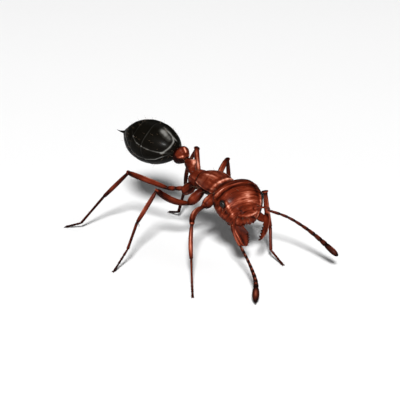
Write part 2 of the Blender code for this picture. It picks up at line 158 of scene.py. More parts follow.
def limb(start, end, profile, bow=(0, 0, 0), sides=20, steps=4, flat=1.0):
    """Rings of a limb from start to end. Its profile lists (share of length, radius); bow bends
    its middle aside; flat widens it. Returns the rings, and the same rings as they would be on a
    straight limb along X."""
    start, end, bow = (np.asarray(v, float) for v in (start, end, bow))
    at = np.linspace(0, len(profile) - 1, (len(profile) - 1) * steps + 1)
    share, radius = (column[:, None] for column in smooth_through(profile, at).T)
    radius = np.maximum(radius, THINNEST)
    middle = start + (end - start) * share + bow * 4 * share * (1 - share)
    axis = (end - start) + bow * 4 * (1 - 2 * share)
    axis /= np.linalg.norm(axis, axis=1, keepdims=True)
    across = np.cross((0.0, 0.0, 1.0), axis)
    across /= np.linalg.norm(across, axis=1, keepdims=True)
    above = np.cross(axis, across)
    angle = np.linspace(0, 2 * math.pi, sides, endpoint=False)[None, :, None]
    turned = across[:, None] * np.sin(angle) * flat + above[:, None] * np.cos(angle)
    rings = middle[:, None] + radius[:, None] * turned
    length, angle = np.linalg.norm(end - start), angle[..., 0]
    local = stack(share * length, radius * np.sin(angle), radius * np.cos(angle))
    return rings, local


def normals(rings):
    """Outward direction at each point of the rings."""
    along = np.gradient(rings, axis=0)
    around = np.roll(rings, -1, axis=1) - np.roll(rings, 1, axis=1)
    out = np.cross(around, along)
    out /= np.maximum(np.linalg.norm(out, axis=2, keepdims=True), 1e-12)
    centre = rings.mean(axis=1, keepdims=True)
    return out * np.sign(((rings - centre) * out).sum())


def pushed(rings, push):
    """The rings with each point moved outwards by its own push."""
    return rings + normals(rings) * push[..., None]


def scaled(profile, by):
    """The same profile, that many times as thick."""
    return [(share, radius * by) for share, radius in profile]


print("a plain limb has rings of", limb((0, 0, 0), (1, 0, 0), [(0, 0.1), (1, 0.1)])[0].shape[1], "points")

# %% [markdown]
# ## From rings to a mesh
# A leg or a feeler is many closed shells that touch, like real sclerites. One collector turns them
# into one mesh. It also stores what later steps read: `tone` (how dark the cuticle is there, with
# painted shade and painted highlights in it), `local` (the place along and round its own segment,
# so that a pattern follows the segment), `flow` (the way bristles lie) and a UV map, `skin`, with
# a tile of its own for each shell.

# %% Faces of a shell, and a new object
def grid_faces(count, sides):
    """Quads between the rings and a fan of triangles to a pole at each end, with their UVs."""
    faces, uvs = [], []
    for ring in range(count - 1):
        v0, v1 = (ring + 1) / (count + 1), (ring + 2) / (count + 1)
        here, there = ring * sides, (ring + 1) * sides
        for side in range(sides):
            after = (side + 1) % sides
            faces.append((here + side, here + after, there + after, there + side))
            u0, u1 = side / sides, (side + 1) / sides
            uvs += [(u0, v0), (u1, v0), (u1, v1), (u0, v1)]
    first, last = count * sides, count * sides + 1
    for side in range(sides):
        after, u0, u1 = (side + 1) % sides, side / sides, (side + 1) / sides
        faces.append((first, after, side))
        uvs += [((u0 + u1) / 2, 0.0), (u1, 1 / (count + 1)), (u0, 1 / (count + 1))]
        end = (count - 1) * sides
        faces.append((last, end + side, end + after))
        uvs += [((u0 + u1) / 2, 1.0), (u0, count / (count + 1)), (u1, count / (count + 1))]
    return faces, uvs


def with_poles(grid):
    """All points of the rings in one list, then the middle of the first and of the last ring."""
    return np.vstack([grid.reshape(-1, grid.shape[-1]), grid[0].mean(0), grid[-1].mean(0)])


def add_object(name, data):
    """A new object in the scene."""
    made = bpy.data.objects.new(name, data)
    bpy.context.scene.collection.objects.link(made)
    return made


print("a shell of 3 rings of 4 points has", len(grid_faces(3, 4)[0]), "faces")

# %% The collector of shells
SHELL_VALUES = {        # what a point stores, with its type in a mesh
    "tone": ("FLOAT", "value"), "hair": ("FLOAT", "value"),
    "local": ("FLOAT_VECTOR", "vector"), "flow": ("FLOAT_VECTOR", "vector"),
}
TILE_FILL, TILE_MARGIN = 0.96, 0.02         # shares of a shell's own tile of the UV map


class Shells:
    """Collects closed ringed shells in millimetres and makes one mesh of them."""

    def __init__(self):
        self.shells = []

    def add(self, rings, tone=0.0, local=None, hair=1.0):
        """Add one shell of rings. tone and hair are one number, or one for each point; local is
        where each point lies along and round its own segment."""
        rings = np.asarray(rings, float)
        tone, hair = (np.broadcast_to(v, rings.shape[:2]).astype(float)[..., None] for v in (tone, hair))
        flow = np.gradient(rings, axis=0)
        flow /= np.maximum(np.linalg.norm(flow, axis=2, keepdims=True), 1e-12)
        local = rings if local is None else local
        self.shells.append({"place": rings, "tone": tone, "hair": hair, "local": local, "flow": flow})

    def add_limb(self, start, end, profile, tone, hair=1.0, axes=None, **options):
        """Add a limb of one tone, in the given axes."""
        rings, local = limb(start, end, profile, **options)
        self.add(axes.world(rings) if axes else rings, tone, local, hair)

    def make(self, name, material):
        """One mesh of all the shells, each wound so that its faces point outwards."""
        columns = math.ceil(math.sqrt(len(self.shells)))
        faces, uvs, values = [], [], {key: [] for key in ("place", *SHELL_VALUES)}
        offset = 0
        for index, shell in enumerate(self.shells):
            column, row = index % columns, index // columns
            for key, grid in shell.items():
                values[key].append(with_poles(grid))
            points = values["place"][-1]
            shell_faces, shell_uvs = grid_faces(*shell["place"].shape[:2])
            corners = points[[face[k] for face in shell_faces for k in (0, 1, 2)]].reshape(-1, 3, 3)
            volume = np.einsum("ij,ij->i", corners[:, 0], np.cross(corners[:, 1], corners[:, 2])).sum()
            step, start = -1 if volume < 0 else 1, 0
            for face in shell_faces:
                faces.append(tuple(offset + k for k in face)[::step])
                tile = [((u * TILE_FILL + TILE_MARGIN + column) / columns,
                         (v * TILE_FILL + TILE_MARGIN + row) / columns)
                        for u, v in shell_uvs[start : start + len(face)]]
                uvs += tile[::step]
                start += len(face)
            offset += len(points)
        mesh = bpy.data.meshes.new(name)
        mesh.from_pydata(((np.vstack(values["place"]) - MIDDLE) * MM).tolist(), [], faces)
        mesh.uv_layers.new(name="skin").data.foreach_set("uv", np.array(uvs).ravel())
        for key, (kind, field) in SHELL_VALUES.items():
            mesh.attributes.new(key, kind, "POINT").data.foreach_set(field, np.vstack(values[key]).ravel())
        mesh.shade_smooth()
        mesh.materials.append(material)
        print(f"{name}: {len(self.shells)} shells, {len(faces)} faces")
        return add_object(name, mesh)


# %% [markdown]
# ## Writing materials as sums
# Shader graphs are easier to read as arithmetic. `Wire` holds a socket and lets Python's +, - and *
# make the Math nodes, and `Paint.node` makes any other node from its settings and its inputs.

# %% Wires and nodes
class Wire:
    """An output socket that can be added, subtracted and multiplied."""

    def __init__(self, paint, socket):
        self.paint, self.socket = paint, socket

    def _math(self, operation, first, second):
        return self.paint.node("ShaderNodeMath", {"operation": operation}, {0: first, 1: second})

    def __add__(self, other):
        return self._math("ADD", self, other)

    def __sub__(self, other):
        return self._math("SUBTRACT", self, other)

    def __rsub__(self, other):
        return self._math("SUBTRACT", other, self)

    def __mul__(self, other):
        return self._math("MULTIPLY", self, other)

    __radd__, __rmul__ = __add__, __mul__


class Paint:
    """A new material and the one way to put a node in it."""

    def __init__(self, name):
        self.material = bpy.data.materials.new(name)
        self.material.use_nodes = True
        self.tree = self.material.node_tree
        self.shader = self.tree.nodes["Principled BSDF"]

    def node(self, kind, settings=None, sockets=None, output=0):
        """A node of that type, as a wire from one of its outputs. A ramp's settings hold its stops."""
        made = self.tree.nodes.new(kind)
        for key, value in (settings or {}).items():
            if key == "stops":
                ramp = made.color_ramp.elements
                while len(ramp) < len(value):
                    ramp.new(0.5)
                for element, (stop, colour) in zip(ramp, value):
                    element.position, element.color = stop, (*colour, 1.0)
            else:
                setattr(made, key, value)
        self.plug(made, sockets or {})
        return Wire(self, made.outputs[output])

    def plug(self, node, sockets):
        """Set each input to its value, or link it to its wire."""
        for key, value in sockets.items():
            if isinstance(value, Wire):
                self.tree.links.new(value.socket, node.inputs[key])
            else:
                node.inputs[key].default_value = value

    def attribute(self, name, output="Fac"):
        """What the mesh stores under that name."""
        return self.node("ShaderNodeAttribute", {"attribute_name": name}, output=output)


# %% [markdown]
# ## Cuticle
# Fresh cuticle is smooth and glossy, red-brown where it is thick and almost black on the gaster.
# It isn't even: it has faint streaks along each plate, softer mottling, a darker rim at the
# sutures and a very fine net of cells that only a lens shows. One recipe makes all its kinds.

# %% The recipe for cuticle
CELLS_PER_MM = 38.0
RELIEF_DEPTH = 0.004                        # mm
WAX_ROUGHNESS = 0.20


def cuticle(name, colours, streak=0.5, dull=0.42, stretch=(1.5, 11.0, 11.0), shine=0.02, gloss=0.02):
    """Red or black shell, from its darkest colour to its lightest. streak is how strong its streaks
    are, dull how rough it is, shine how much it mirrors, and gloss how much its thin wax does."""
    paint = Paint(name)
    local = paint.attribute("local", "Vector")
    tone = paint.attribute("tone")
    drawn = paint.node("ShaderNodeVectorMath", {"operation": "MULTIPLY"}, {0: local, 1: stretch})
    streaks = paint.node("ShaderNodeTexNoise", {}, {
        "Vector": drawn, "Scale": 1.0, "Detail": 5.0, "Roughness": 0.6})
    clouds = paint.node("ShaderNodeTexNoise", {}, {"Vector": local, "Scale": 2.2, "Detail": 3.0})
    cells = paint.node("ShaderNodeTexVoronoi", {"feature": "DISTANCE_TO_EDGE"}, {
        "Vector": local, "Scale": CELLS_PER_MM})
    # the tone darkens it where it is dark of itself or painted with shade, and lightens it at painted
    # highlights
    shade = 0.5 + (streaks - 0.5) * (2.2 * streak) + (clouds - 0.5) * 0.6 - tone * 0.75
    stops = list(zip((0.0, 0.5, 0.75, 1.0), colours))
    colour = paint.node("ShaderNodeValToRGB", {"stops": stops}, {"Fac": shade})
    relief = paint.node("ShaderNodeBump", {}, {
        "Height": cells * 0.12 + streaks * 0.25, "Strength": 0.25, "Distance": RELIEF_DEPTH * MM})
    paint.plug(paint.shader, {
        "Base Color": colour,
        "Roughness": dull + (streaks - 0.5) * 0.25 + tone * 0.10,
        "Normal": relief,
        "Specular IOR Level": shine,
        "Coat Weight": gloss,
        "Coat Roughness": WAX_ROUGHNESS,
    })
    return paint.material


# Four shades of each kind, from its darkest to its lightest; the painted highlights reach the lightest
SHADES = {
    "red": [(0.008, 0.0011, 0.0006), (0.088, 0.0115, 0.0042), (0.215, 0.050, 0.025), (0.60, 0.27, 0.19)],
    "head": [(0.009, 0.0012, 0.0006), (0.095, 0.0125, 0.0043), (0.225, 0.054, 0.028), (0.60, 0.27, 0.19)],
    "brown": [(0.005, 0.0010, 0.0006), (0.045, 0.0078, 0.0038), (0.12, 0.028, 0.015), (0.32, 0.11, 0.07)],
    "black": [(0.0012, 0.0010, 0.0007), (0.0032, 0.0027, 0.0018), (0.022, 0.021, 0.018),
              (0.14, 0.137, 0.127)],
}
RED = cuticle("cuticle_red", SHADES["red"])
JAW_RED = cuticle("cuticle_jaw", SHADES["red"], streak=0.6, stretch=(2.0, 14.0, 8.0), shine=0.008,
                  gloss=0.003)
HEAD_RED = cuticle("cuticle_head", SHADES["head"], streak=0.8, stretch=(1.3, 12.0, 7.0))
BROWN = cuticle("cuticle_brown", SHADES["brown"])
BLACK = cuticle("cuticle_black", SHADES["black"], streak=0.25, stretch=(5.0, 2.0, 2.0))
print("cuticle materials:", RED.name, JAW_RED.name, HEAD_RED.name, BROWN.name, BLACK.name)


# %% Eye and bristle
def plain_paint(name, colour, roughness, variation=0.3, scale=3000.0, coat=0.0):
    """A finish with a little cloudy variation, for the small parts."""
    paint = Paint(name)
    where = paint.node("ShaderNodeTexCoord", output="Object")
    clouds = paint.node("ShaderNodeTexNoise", {}, {"Vector": where, "Scale": scale, "Detail": 3.0})
    low = tuple(c * (1 - variation) for c in colour)
    high = tuple(c * (1 + variation) for c in colour)
    ramp = paint.node("ShaderNodeValToRGB", {"stops": [(0.3, low), (0.7, high)]}, {"Fac": clouds})
    paint.plug(paint.shader, {
        "Base Color": ramp,
        "Roughness": roughness + (clouds - 0.5) * 0.1,
        "Specular IOR Level": 0.2,
        "Coat Weight": coat,
    })
    return paint.material


EYE = plain_paint("eye_facets", (0.0035, 0.0025, 0.0022), 0.34, coat=0.06)
HAIR = plain_paint("bristle", (0.12, 0.080, 0.050), 0.5)
print("small finishes:", EYE.name, HAIR.name)

# %% [markdown]
# ## Camera, floor and light
# The view looks down a little on the ant from in front of its right side, through a long lens, so
# near feet and far feet are almost the same size. The floor is plain and white. One round lamp in
# front of the ant throws the soft shadow under it. Two weaker, wider ones fill in from its left and
# light its edges from behind.

# %% Camera
VIEW_POINT = np.array([-1.072, 0.446, 1.175])       # what the camera looks at, mm
VIEW_DISTANCE = 50.0                        # mm
VIEW_SIDE, VIEW_HEIGHT = 36.0, 18.0         # degrees to the ant's right of its front, and up
LENS_MM, SENSOR_MM = 158.4, 36.0


def place(point):
    """A point in the ant's millimetres, as a place in the scene."""
    return Vector((np.asarray(point, float) - MIDDLE) * MM)


def face_ant(thing, point, direction):
    """Put a camera or a lamp at a point, looking back along the direction it lies in."""
    thing.location = place(point)
    thing.rotation_mode = "QUATERNION"
    thing.rotation_quaternion = Vector(-direction).to_track_quat("-Z", "Y")


toward_camera = heading(VIEW_SIDE, VIEW_HEIGHT, side=-1)
camera = add_object("camera", bpy.data.cameras.new("camera"))
camera.data.lens, camera.data.sensor_width = LENS_MM, SENSOR_MM
camera.data.clip_start, camera.data.clip_end = 1 * MM, 5000 * MM
face_ant(camera, VIEW_POINT + toward_camera * VIEW_DISTANCE, toward_camera)
bpy.context.scene.camera = camera
print("camera", VIEW_DISTANCE, "mm away")

# %% Floor
FLOOR_SIZE = 900.0                          # mm
half = FLOOR_SIZE / 2 * MM
floor_mesh = bpy.data.meshes.new("floor")
corners = [(-half, -half, 0), (half, -half, 0), (half, half, 0), (-half, half, 0)]
floor_mesh.from_pydata(corners, [], [(0, 1, 2, 3)])
floor_mesh.materials.append(plain_paint("floor", (0.86, 0.86, 0.86), 0.9, variation=0.004, scale=40.0))
floor = add_object("floor", floor_mesh)
print("floor", FLOOR_SIZE, "mm wide")

# %% Lights
LIGHT_DISTANCE = 600.0                      # mm


def soft_light(name, out, up, width, brightness):
    """A round lamp that many degrees to the left of forward and up, looking width degrees wide,
    which alone would light a white floor to that brightness."""
    lamp = bpy.data.lights.new(name, "AREA")
    lamp.shape, lamp.size = "DISK", 2 * LIGHT_DISTANCE * math.tan(math.radians(width / 2)) * MM
    lamp.energy = brightness * (math.pi * LIGHT_DISTANCE * MM) ** 2 / math.sin(math.radians(up))
    direction = heading(out, up)
    face_ant(add_object(name, lamp), direction * LIGHT_DISTANCE, direction)


soft_light("key", out=-36.5, up=33, width=8, brightness=1.10)
soft_light("fill", out=38, up=50, width=24, brightness=0.040)
soft_light("rim", out=135, up=50, width=32, brightness=0.05)
world = bpy.data.worlds.new("studio")
world.use_nodes = True
background = world.node_tree.nodes["Background"].inputs
background["Color"].default_value = (1.0, 1.0, 1.0, 1.0)
background["Strength"].default_value = 0.040
bpy.context.scene.world = world
bpy.context.scene.view_settings.view_transform = "Standard"
print("three lights and a white room")

# %% [markdown]
# ## Head
# The head is a rounded capsule, a little wider than long and flatter than either. The face carries
# the clypeus (the shield over the mouth), two pits where the feelers turn in their sockets, a
# ridge down each cheek, a fine line down the middle and a rim round the crown. The capsule is one
# loft, and each of these is a soft push along its normals, written in head directions.

# %% Head capsule
HEAD = Axes((1.385, -0.06, 1.86), -4, -58, roll=4)      # its middle in mm, and its way in degrees
HEAD_LENGTH, HEAD_WIDTH, HEAD_DEPTH = 1.32, 1.48, 0.90
INSET = 0.985                   # how much smaller the cuticle is than its solid
HEAD_SWELL = [                  # shares of length, width and depth
    (-0.50, 0.20, 0.18), (-0.47, 0.43, 0.41), (-0.39, 0.70, 0.67), (-0.24, 0.91, 0.89), (-0.06, 1.00, 1.00),
    (0.11, 0.95, 0.98), (0.25, 0.83, 0.88), (0.35, 0.70, 0.76), (0.42, 0.56, 0.60), (0.455, 0.40, 0.40),
    (0.465, 0.25, 0.22),
]
SOCKET = (0.32, 0.19)           # of each feeler: along and out from the middle of the face, mm
SOCKET_ASIDE = 0.02             # how far the cuticle's own pit lies outside that
EYE_PLACE = (0.01, 0.600, 0.258)            # along the head, out and up, mm
EYE_LEAN = 38                   # degrees that an eye's middle leans outwards
CROWN = (0.46, 0.86)            # length and half width of the crown inside its rim, mm
GRAIN_MIDDLE = 1.2              # how far forward the streaks of the face run together, mm


def head_capsule():
    """The capsule in head directions: a along it, l to its left, n out of its face."""
    stations = [(HEAD_LENGTH * a, HEAD_WIDTH / 2 * w, HEAD_DEPTH / 2 * d * 1.03, -HEAD_DEPTH / 2 * d * 0.97)
                for a, w, d in HEAD_SWELL]
    rings = loft(stations, sides=192, steps=15) * INSET
    a, l, n = rings[..., 0], rings[..., 1], rings[..., 2]
    side, face = np.abs(l), rise(-0.05, 0.12, n)
    # painted shade: the underside of the head is darker
    push, dark = np.zeros(a.shape), 0.10 + 0.55 * (1 - rise(-0.22, 0.08, n))
    # the crown's rim with a painted highlight along it, a groove behind it with painted shade in it,
    # and painted shade in front of it; further back the head is darker
    crown = np.hypot(np.minimum(a, 0) / CROWN[0], l / CROWN[1]) - 1
    upper = rise(-0.20, -0.02, n) * (1 - rise(-0.06, 0.10, a))
    push += (0.009 * hill(crown, 0.026) - 0.006 * hill(crown - 0.060, 0.030)) * upper
    dark += (-0.42 * hill(crown, 0.020) + 0.42 * hill(crown + 0.17, 0.085)
             + 0.25 * hill(crown - 0.055, 0.030)) * upper
    dark += 0.35 * rise(0.04, 0.20, crown) * upper
    # the cheek's ridge, from the eye down to the jaw, with a painted highlight along it and painted
    # shade outside it
    cheek = side - (0.53 - 0.20 * a - 0.35 * a**2)
    along_cheek = between(-0.02, 0.56, 0.14, a) * rise(-0.06, 0.04, n)
    push += 0.018 * hill(cheek, 0.032) * along_cheek
    faded = 1 - 0.6 * rise(0.25, 0.45, a)
    dark += (-0.55 * hill(cheek, 0.034) + 0.45 * hill(cheek - 0.095, 0.045)) * along_cheek * faded
    # the shield over the mouth: its soft hind edge, its rim with a painted highlight, painted shade in
    # the groove between rim and margin, and its toothed margin
    shield = rise(0.24, 0.38, a + 1.1 * l**2) * (1 - rise(0.26, 0.34, side)) * face
    rim = a - (0.475 - 0.9 * l**2)
    push += 0.022 * shield + (0.014 * hill(rim, 0.022) - 0.008 * hill(rim - 0.055, 0.02)) * shield
    dark += (-0.38 * hill(rim, 0.020) + 0.22 * hill(rim - 0.060, 0.040)) * shield
    push += 0.010 * hill(side - 0.10, 0.020) * rise(0.38, 0.48, a) * face
    # sockets of the feelers, darkened inside with painted shade, and the ridge beside each
    pit = np.hypot(a - SOCKET[0], side - SOCKET[1] - SOCKET_ASIDE)
    push += (-0.040 * hill(pit, 0.055) + 0.010 * hill(pit - 0.080, 0.018)) * face
    dark += 0.38 * hill(pit, 0.045) * face
    push += 0.006 * hill(side - 0.135, 0.030) * between(-0.10, 0.30, 0.16, a) * face
    # the fine line down the middle of the face
    push -= 0.005 * hill(l, 0.012) * between(-0.40, 0.16, 0.14, a) * face
    # the raised rim round each eye, and the shade inside it
    eye = np.hypot((a - EYE_PLACE[0]) / 1.35, np.hypot(side - EYE_PLACE[1], n - EYE_PLACE[2]))
    push += 0.010 * hill(eye - 0.086, 0.020)
    dark += 0.45 * hill(eye - 0.074, 0.022)
    # a painted highlight on the forehead, and painted shade beside the right socket and down the left cheek
    dark -= 0.46 * hill(np.hypot((a - 0.02) / 1.2, l - 0.12), 0.19) * face
    beside_socket = np.hypot((a - 0.30) / 0.8, (l + 0.18) / 1.2)
    dark += 0.42 * hill(beside_socket, 0.17) * face + 0.30 * hill(l - 0.43, 0.07) * face
    # the seam along the throat, the dip in the back of the head and the teeth of the shield
    push -= 0.010 * hill(l, 0.020) * (1 - rise(-0.20, -0.10, n))
    notch = 0.045 * np.maximum(0.0, -a / HEAD_LENGTH - 0.30) / 0.20 * hill(l, 0.30 * HEAD_WIDTH)
    teeth = sum(hill(side - out, 0.026) for out in (0.0, 0.10, 0.20)) * rise(0.51, 0.58, a) * face
    local = stack(GRAIN_MIDDLE * np.arctan2(l, GRAIN_MIDDLE - a), np.hypot(a - GRAIN_MIDDLE, l), n)
    rings = pushed(rings, push)
    rings[..., 0] += notch + 0.030 * shield * rise(0.45, 0.60, a) + 0.030 * teeth
    shells = Shells()
    shells.add(HEAD.world(rings), tone=dark, local=local)
    return shells.make("head_capsule", HEAD_RED)


head = head_capsule()
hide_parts("head")

# %% [markdown]
# ## Eyes
# A fire ant's eye is a small low dome of about a hundred lenses. The dome is an icosphere squeezed
# to a lens shape, and Geometry Nodes set one bulging facet on each of its points, so the facets
# pack in the same six-sided way as real ones.

# %% A short way to write Geometry Nodes
def group_input(tree, name, kind, default=None):
    """A named input of a tree."""
    socket = tree.interface.new_socket(name, in_out="INPUT", socket_type=kind)
    if default is not None:
        socket.default_value = default
    return socket


class Nodes:
    """A Geometry Nodes tree with named inputs, built in the script."""

    def __init__(self, name, inputs):
        self.tree = bpy.data.node_groups.new(name, "GeometryNodeTree")
        group_input(self.tree, "Geometry", "NodeSocketGeometry")
        self.ids = {key: group_input(self.tree, key, kind, default).identifier
                    for key, kind, default in inputs}
        self.tree.interface.new_socket("Geometry", in_out="OUTPUT", socket_type="NodeSocketGeometry")
        self.given = self.tree.nodes.new("NodeGroupInput")
        self.result = self.tree.nodes.new("NodeGroupOutput")

    def node(self, kind, settings=None, sockets=None):
        """A node of that type, its settings, and the values or links of its sockets."""
        made = self.tree.nodes.new(kind)
        for key, value in (settings or {}).items():
            setattr(made, key, value)
        for key, value in (sockets or {}).items():
            if isinstance(value, bpy.types.NodeSocket):
                self.tree.links.new(value, made.inputs[key])
            else:
                made.inputs[key].default_value = value
        return made

    def math(self, operation, first, second):
        """A number worked out from two others."""
        return self.node("ShaderNodeMath", {"operation": operation}, {0: first, 1: second}).outputs[0]

    def vector(self, operation, first, second):
        """A vector worked out from another, and from a second one or a scale."""
        sockets = {0: first, "Scale" if operation == "SCALE" else 1: second}
        return self.node("ShaderNodeVectorMath", {"operation": operation}, sockets).outputs[0]

    def attribute(self, name, kind="FLOAT_VECTOR"):
        """What the surface stores under that name."""
        return self.node("GeometryNodeInputNamedAttribute", {"data_type": kind}, {"Name": name}).outputs[0]

    def real(self, geometry):
        """Instances turned into real mesh."""
        return self.node("GeometryNodeRealizeInstances", {}, {0: geometry}).outputs[0]

    def finish(self, geometry, material):
        """End the tree in its material."""
        dressed = self.node("GeometryNodeSetMaterial", {}, {"Geometry": geometry, "Material": material})
        self.tree.links.new(dressed.outputs[0], self.result.inputs[0])

    def run(self, host, name, **values):
        """Make a plain mesh of what the tree grows on the host object."""
        modifier = host.modifiers.new("grow", "NODES")
        modifier.node_group = self.tree
        for key, value in values.items():
            modifier[self.ids[key.replace("_", " ").capitalize()]] = value
        bpy.context.view_layer.update()
        evaluated = host.evaluated_get(bpy.context.evaluated_depsgraph_get())
        mesh = bpy.data.meshes.new_from_object(evaluated)
        host.modifiers.clear()
        mesh.name = name
        print(f"{name}: {len(mesh.polygons)} faces from Geometry Nodes")
        return add_object(name, mesh)


# %% A tree that sets a small dome on every point of a surface
LENS_FLATNESS = 0.55                        # height of a lens, as a share of its radius
facets = Nodes("facets", [("Lens size", "NodeSocketFloat", 0.010 * MM)])
surface, lens_size = facets.given.outputs["Geometry"], facets.given.outputs["Lens size"]
lens = facets.node("GeometryNodeMeshIcoSphere", {}, {"Radius": 1.0, "Subdivisions": 2})
aim = facets.node("FunctionNodeAlignRotationToVector", {"axis": "Z"},
                  {"Vector": facets.node("GeometryNodeInputNormal").outputs[0]})
size = facets.node("ShaderNodeCombineXYZ", {}, {
    0: lens_size, 1: lens_size, 2: facets.math("MULTIPLY", lens_size, LENS_FLATNESS)})
spread = facets.node("GeometryNodeInstanceOnPoints", {}, {
    "Points": surface, "Instance": lens.outputs["Mesh"], "Rotation": aim.outputs[0],
    "Scale": size.outputs[0]})
both = facets.node("GeometryNodeJoinGeometry")
for geometry in (spread.outputs[0], surface):
    facets.tree.links.new(geometry, both.inputs[0])
facets.finish(facets.real(both.outputs[0]), EYE)
print("facet tree has", len(facets.tree.nodes), "nodes")

# %% Both eyes
SIDES = {"right": -1, "left": 1}
EYE_RADII = (0.094, 0.067, 0.046)           # along the head, across and outwards, mm
EYE_LIFT = 0.012                            # how far the dome stands out of its seat, mm
LENS_RADIUS = 0.0084                        # mm


def eye_dome(name, side):
    """An icosphere squeezed to the eye's shape: long along the head, low outwards."""
    shape = bmesh.new()
    bmesh.ops.create_icosphere(shape, subdivisions=3, radius=1.0)
    lean = math.radians(EYE_LEAN)
    along, out, up = EYE_PLACE
    for vertex in shape.verts:
        x, y, z = (c * r for c, r in zip(vertex.co, EYE_RADII))
        local = (along + x, side * (out + EYE_LIFT + z * math.cos(lean) - y * math.sin(lean)),
                 up + z * math.sin(lean) + y * math.cos(lean))
        vertex.co = place(HEAD.world(local))
    bmesh.ops.recalc_face_normals(shape, faces=shape.faces)
    if shape.calc_volume(signed=True) < 0:
        bmesh.ops.reverse_faces(shape, faces=shape.faces)
    mesh = bpy.data.meshes.new(name)
    shape.to_mesh(mesh)
    shape.free()
    mesh.materials.append(EYE)
    mesh.shade_smooth()
    return add_object(name, mesh)


eyes = []
for side_name, side in SIDES.items():
    dome = eye_dome(f"dome_{side_name}", side)
    eye = facets.run(dome, f"eye_{side_name}_facets", lens_size=LENS_RADIUS * MM)
    bpy.data.objects.remove(dome)
    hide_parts(f"eye_{side_name}")
    eyes.append(eye)

# %% [markdown]
# ## Mandibles and mouth
# Each mandible is a curved blade: thick along its outer edge, thin along its inner one, with five
# teeth at the end. Its rings run from edge to edge, and the inner edge follows a saw-tooth. Under
# the clypeus lie the labrum and the small palps, which show between the open blades.

# %% Outlines and places of the blades
MANDIBLE_PLACE = {"right": (0.50, 0.37, -0.12), "left": (0.60, 0.76, -0.04)}     # mm, in the head
MANDIBLE_OPENING = {"right": -2, "left": -19}       # degrees
MANDIBLE_ROOF = 40                                  # degrees that a blade slopes down outwards
# Edges of each blade: (forward from its hinge, inward from its outer side), mm
OUTER_EDGE = {
    "right": [(-0.10, 0.03), (0.04, -0.015), (0.20, -0.025), (0.36, -0.015), (0.50, 0.02), (0.60, 0.05),
              (0.68, 0.10), (0.73, 0.20)],
    "left": [(-0.10, 0.02), (0.04, -0.01), (0.20, -0.01), (0.36, 0.04), (0.50, 0.125), (0.62, 0.25),
             (0.70, 0.365), (0.75, 0.46)],
}
INNER_EDGE = {
    "right": [(-0.10, 0.22), (0.08, 0.275), (0.13, 0.305), (0.21, 0.335), (0.34, 0.385), (0.45, 0.41),
              (0.54, 0.38), (0.61, 0.355), (0.73, 0.285)],
    "left": [(-0.10, 0.24), (0.04, 0.25), (0.16, 0.26), (0.28, 0.32), (0.38, 0.36), (0.45, 0.39),
             (0.55, 0.435), (0.65, 0.475), (0.75, 0.49)],
}
BLADE_START = -0.10
TEETH = 5
TEETH_START, TEETH_END = {"right": 0.42, "left": 0.27}, 0.73
TOOTH_DEPTH = {"right": 0.050, "left": 0.105}
BLADE_THICKNESS = 0.078                             # half of it near the hinge, mm
HINGE_IN_HEAD = (0.34, 0.36)                        # where the bulb behind a blade starts, mm
HINGE_PROFILE = [(0, 0.05), (0.2, 0.110), (0.6, 0.115), (0.9, 0.085), (1, 0.03)]
print("blades of", *(edge[-1][0] for edge in INNER_EDGE.values()), "mm past their hinges")


# %% Mandible blades
def mandible(side_name, side):
    """One blade, whose rings run along it and each pass from edge to edge, and its hinge."""
    last = INNER_EDGE[side_name][-1][0]
    forward = BLADE_START + (last - BLADE_START) * np.linspace(0, 1, 110)
    outer = np.interp(forward, *np.array(OUTER_EDGE[side_name]).T)
    inner = np.interp(forward, *np.array(INNER_EDGE[side_name]).T)
    first = TEETH_START[side_name]
    toothed = rise(first - 0.02, first + 0.02, forward)
    saw = np.abs(((forward - first) / ((TEETH_END - first) / TEETH) % 1.0) * 2 - 1)
    inner = inner + toothed * TOOTH_DEPTH[side_name] * (saw - 0.6)
    thick = BLADE_THICKNESS * (1 - 0.45 * rise(0.1, 0.74, forward)) * rise(-0.20, 0.05, forward)
    outer, inner, forward, thick, toothed = (v[:, None] for v in (outer, inner, forward, thick, toothed))
    angle = np.linspace(0, 2 * math.pi, 40, endpoint=False)
    run, upper = (1 - np.cos(angle)) / 2, np.sin(angle) > 0
    bulge = np.sign(np.sin(angle)) * np.abs(np.sin(angle)) ** 0.8 * (1 - 0.72 * run)
    y = outer + (inner - outer) * run
    z = thick * bulge + 0.010 * hill(run - 0.30, 0.06) * upper - 0.035 * (forward / last) ** 2
    # dark teeth and hinge, and a painted highlight along the ridge on the top with painted shade beside it
    tone = 0.30 + 0.45 * rise(0.78, 1.0, run)[None] * toothed + 0.4 * (1 - rise(-0.1, 0.06, forward))
    tone = tone - 0.70 * hill(run - 0.28, 0.05) * upper + 0.35 * hill(run - 0.42, 0.06) * upper
    # slope the blade, open it and set it on the head
    roof, opening = math.radians(-side * MANDIBLE_ROOF), math.radians(side * MANDIBLE_OPENING[side_name])
    x, y = np.broadcast_to(forward, y.shape), -side * y
    grain = stack(x, y * 0.6, z)
    y, z = y * math.cos(roof) - z * math.sin(roof), y * math.sin(roof) + z * math.cos(roof)
    x, y = x * math.cos(opening) - y * math.sin(opening), x * math.sin(opening) + y * math.cos(opening)
    along, out, up = MANDIBLE_PLACE[side_name]
    shells = Shells()
    blade = HEAD.world(stack(x + along, y + side * out, z + up))
    shells.add(blade, tone=tone, local=grain, hair=0.5)
    shells.add_limb((HINGE_IN_HEAD[0], side * HINGE_IN_HEAD[1], up),
                    (along + 0.04, side * (out - 0.08), up - 0.04), HINGE_PROFILE, 0.20, hair=0.0, axes=HEAD)
    piece = shells.make(f"mandible_{side_name}_blade", JAW_RED)
    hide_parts(f"mandible_{side_name}")
    return piece


mandibles = [mandible(side_name, side) for side_name, side in SIDES.items()]

# %% Labrum and palps
PALP_JOINTS = [(0.36, 0.12, -0.28), (0.43, 0.15, -0.33), (0.49, 0.15, -0.35), (0.54, 0.13, -0.35)]


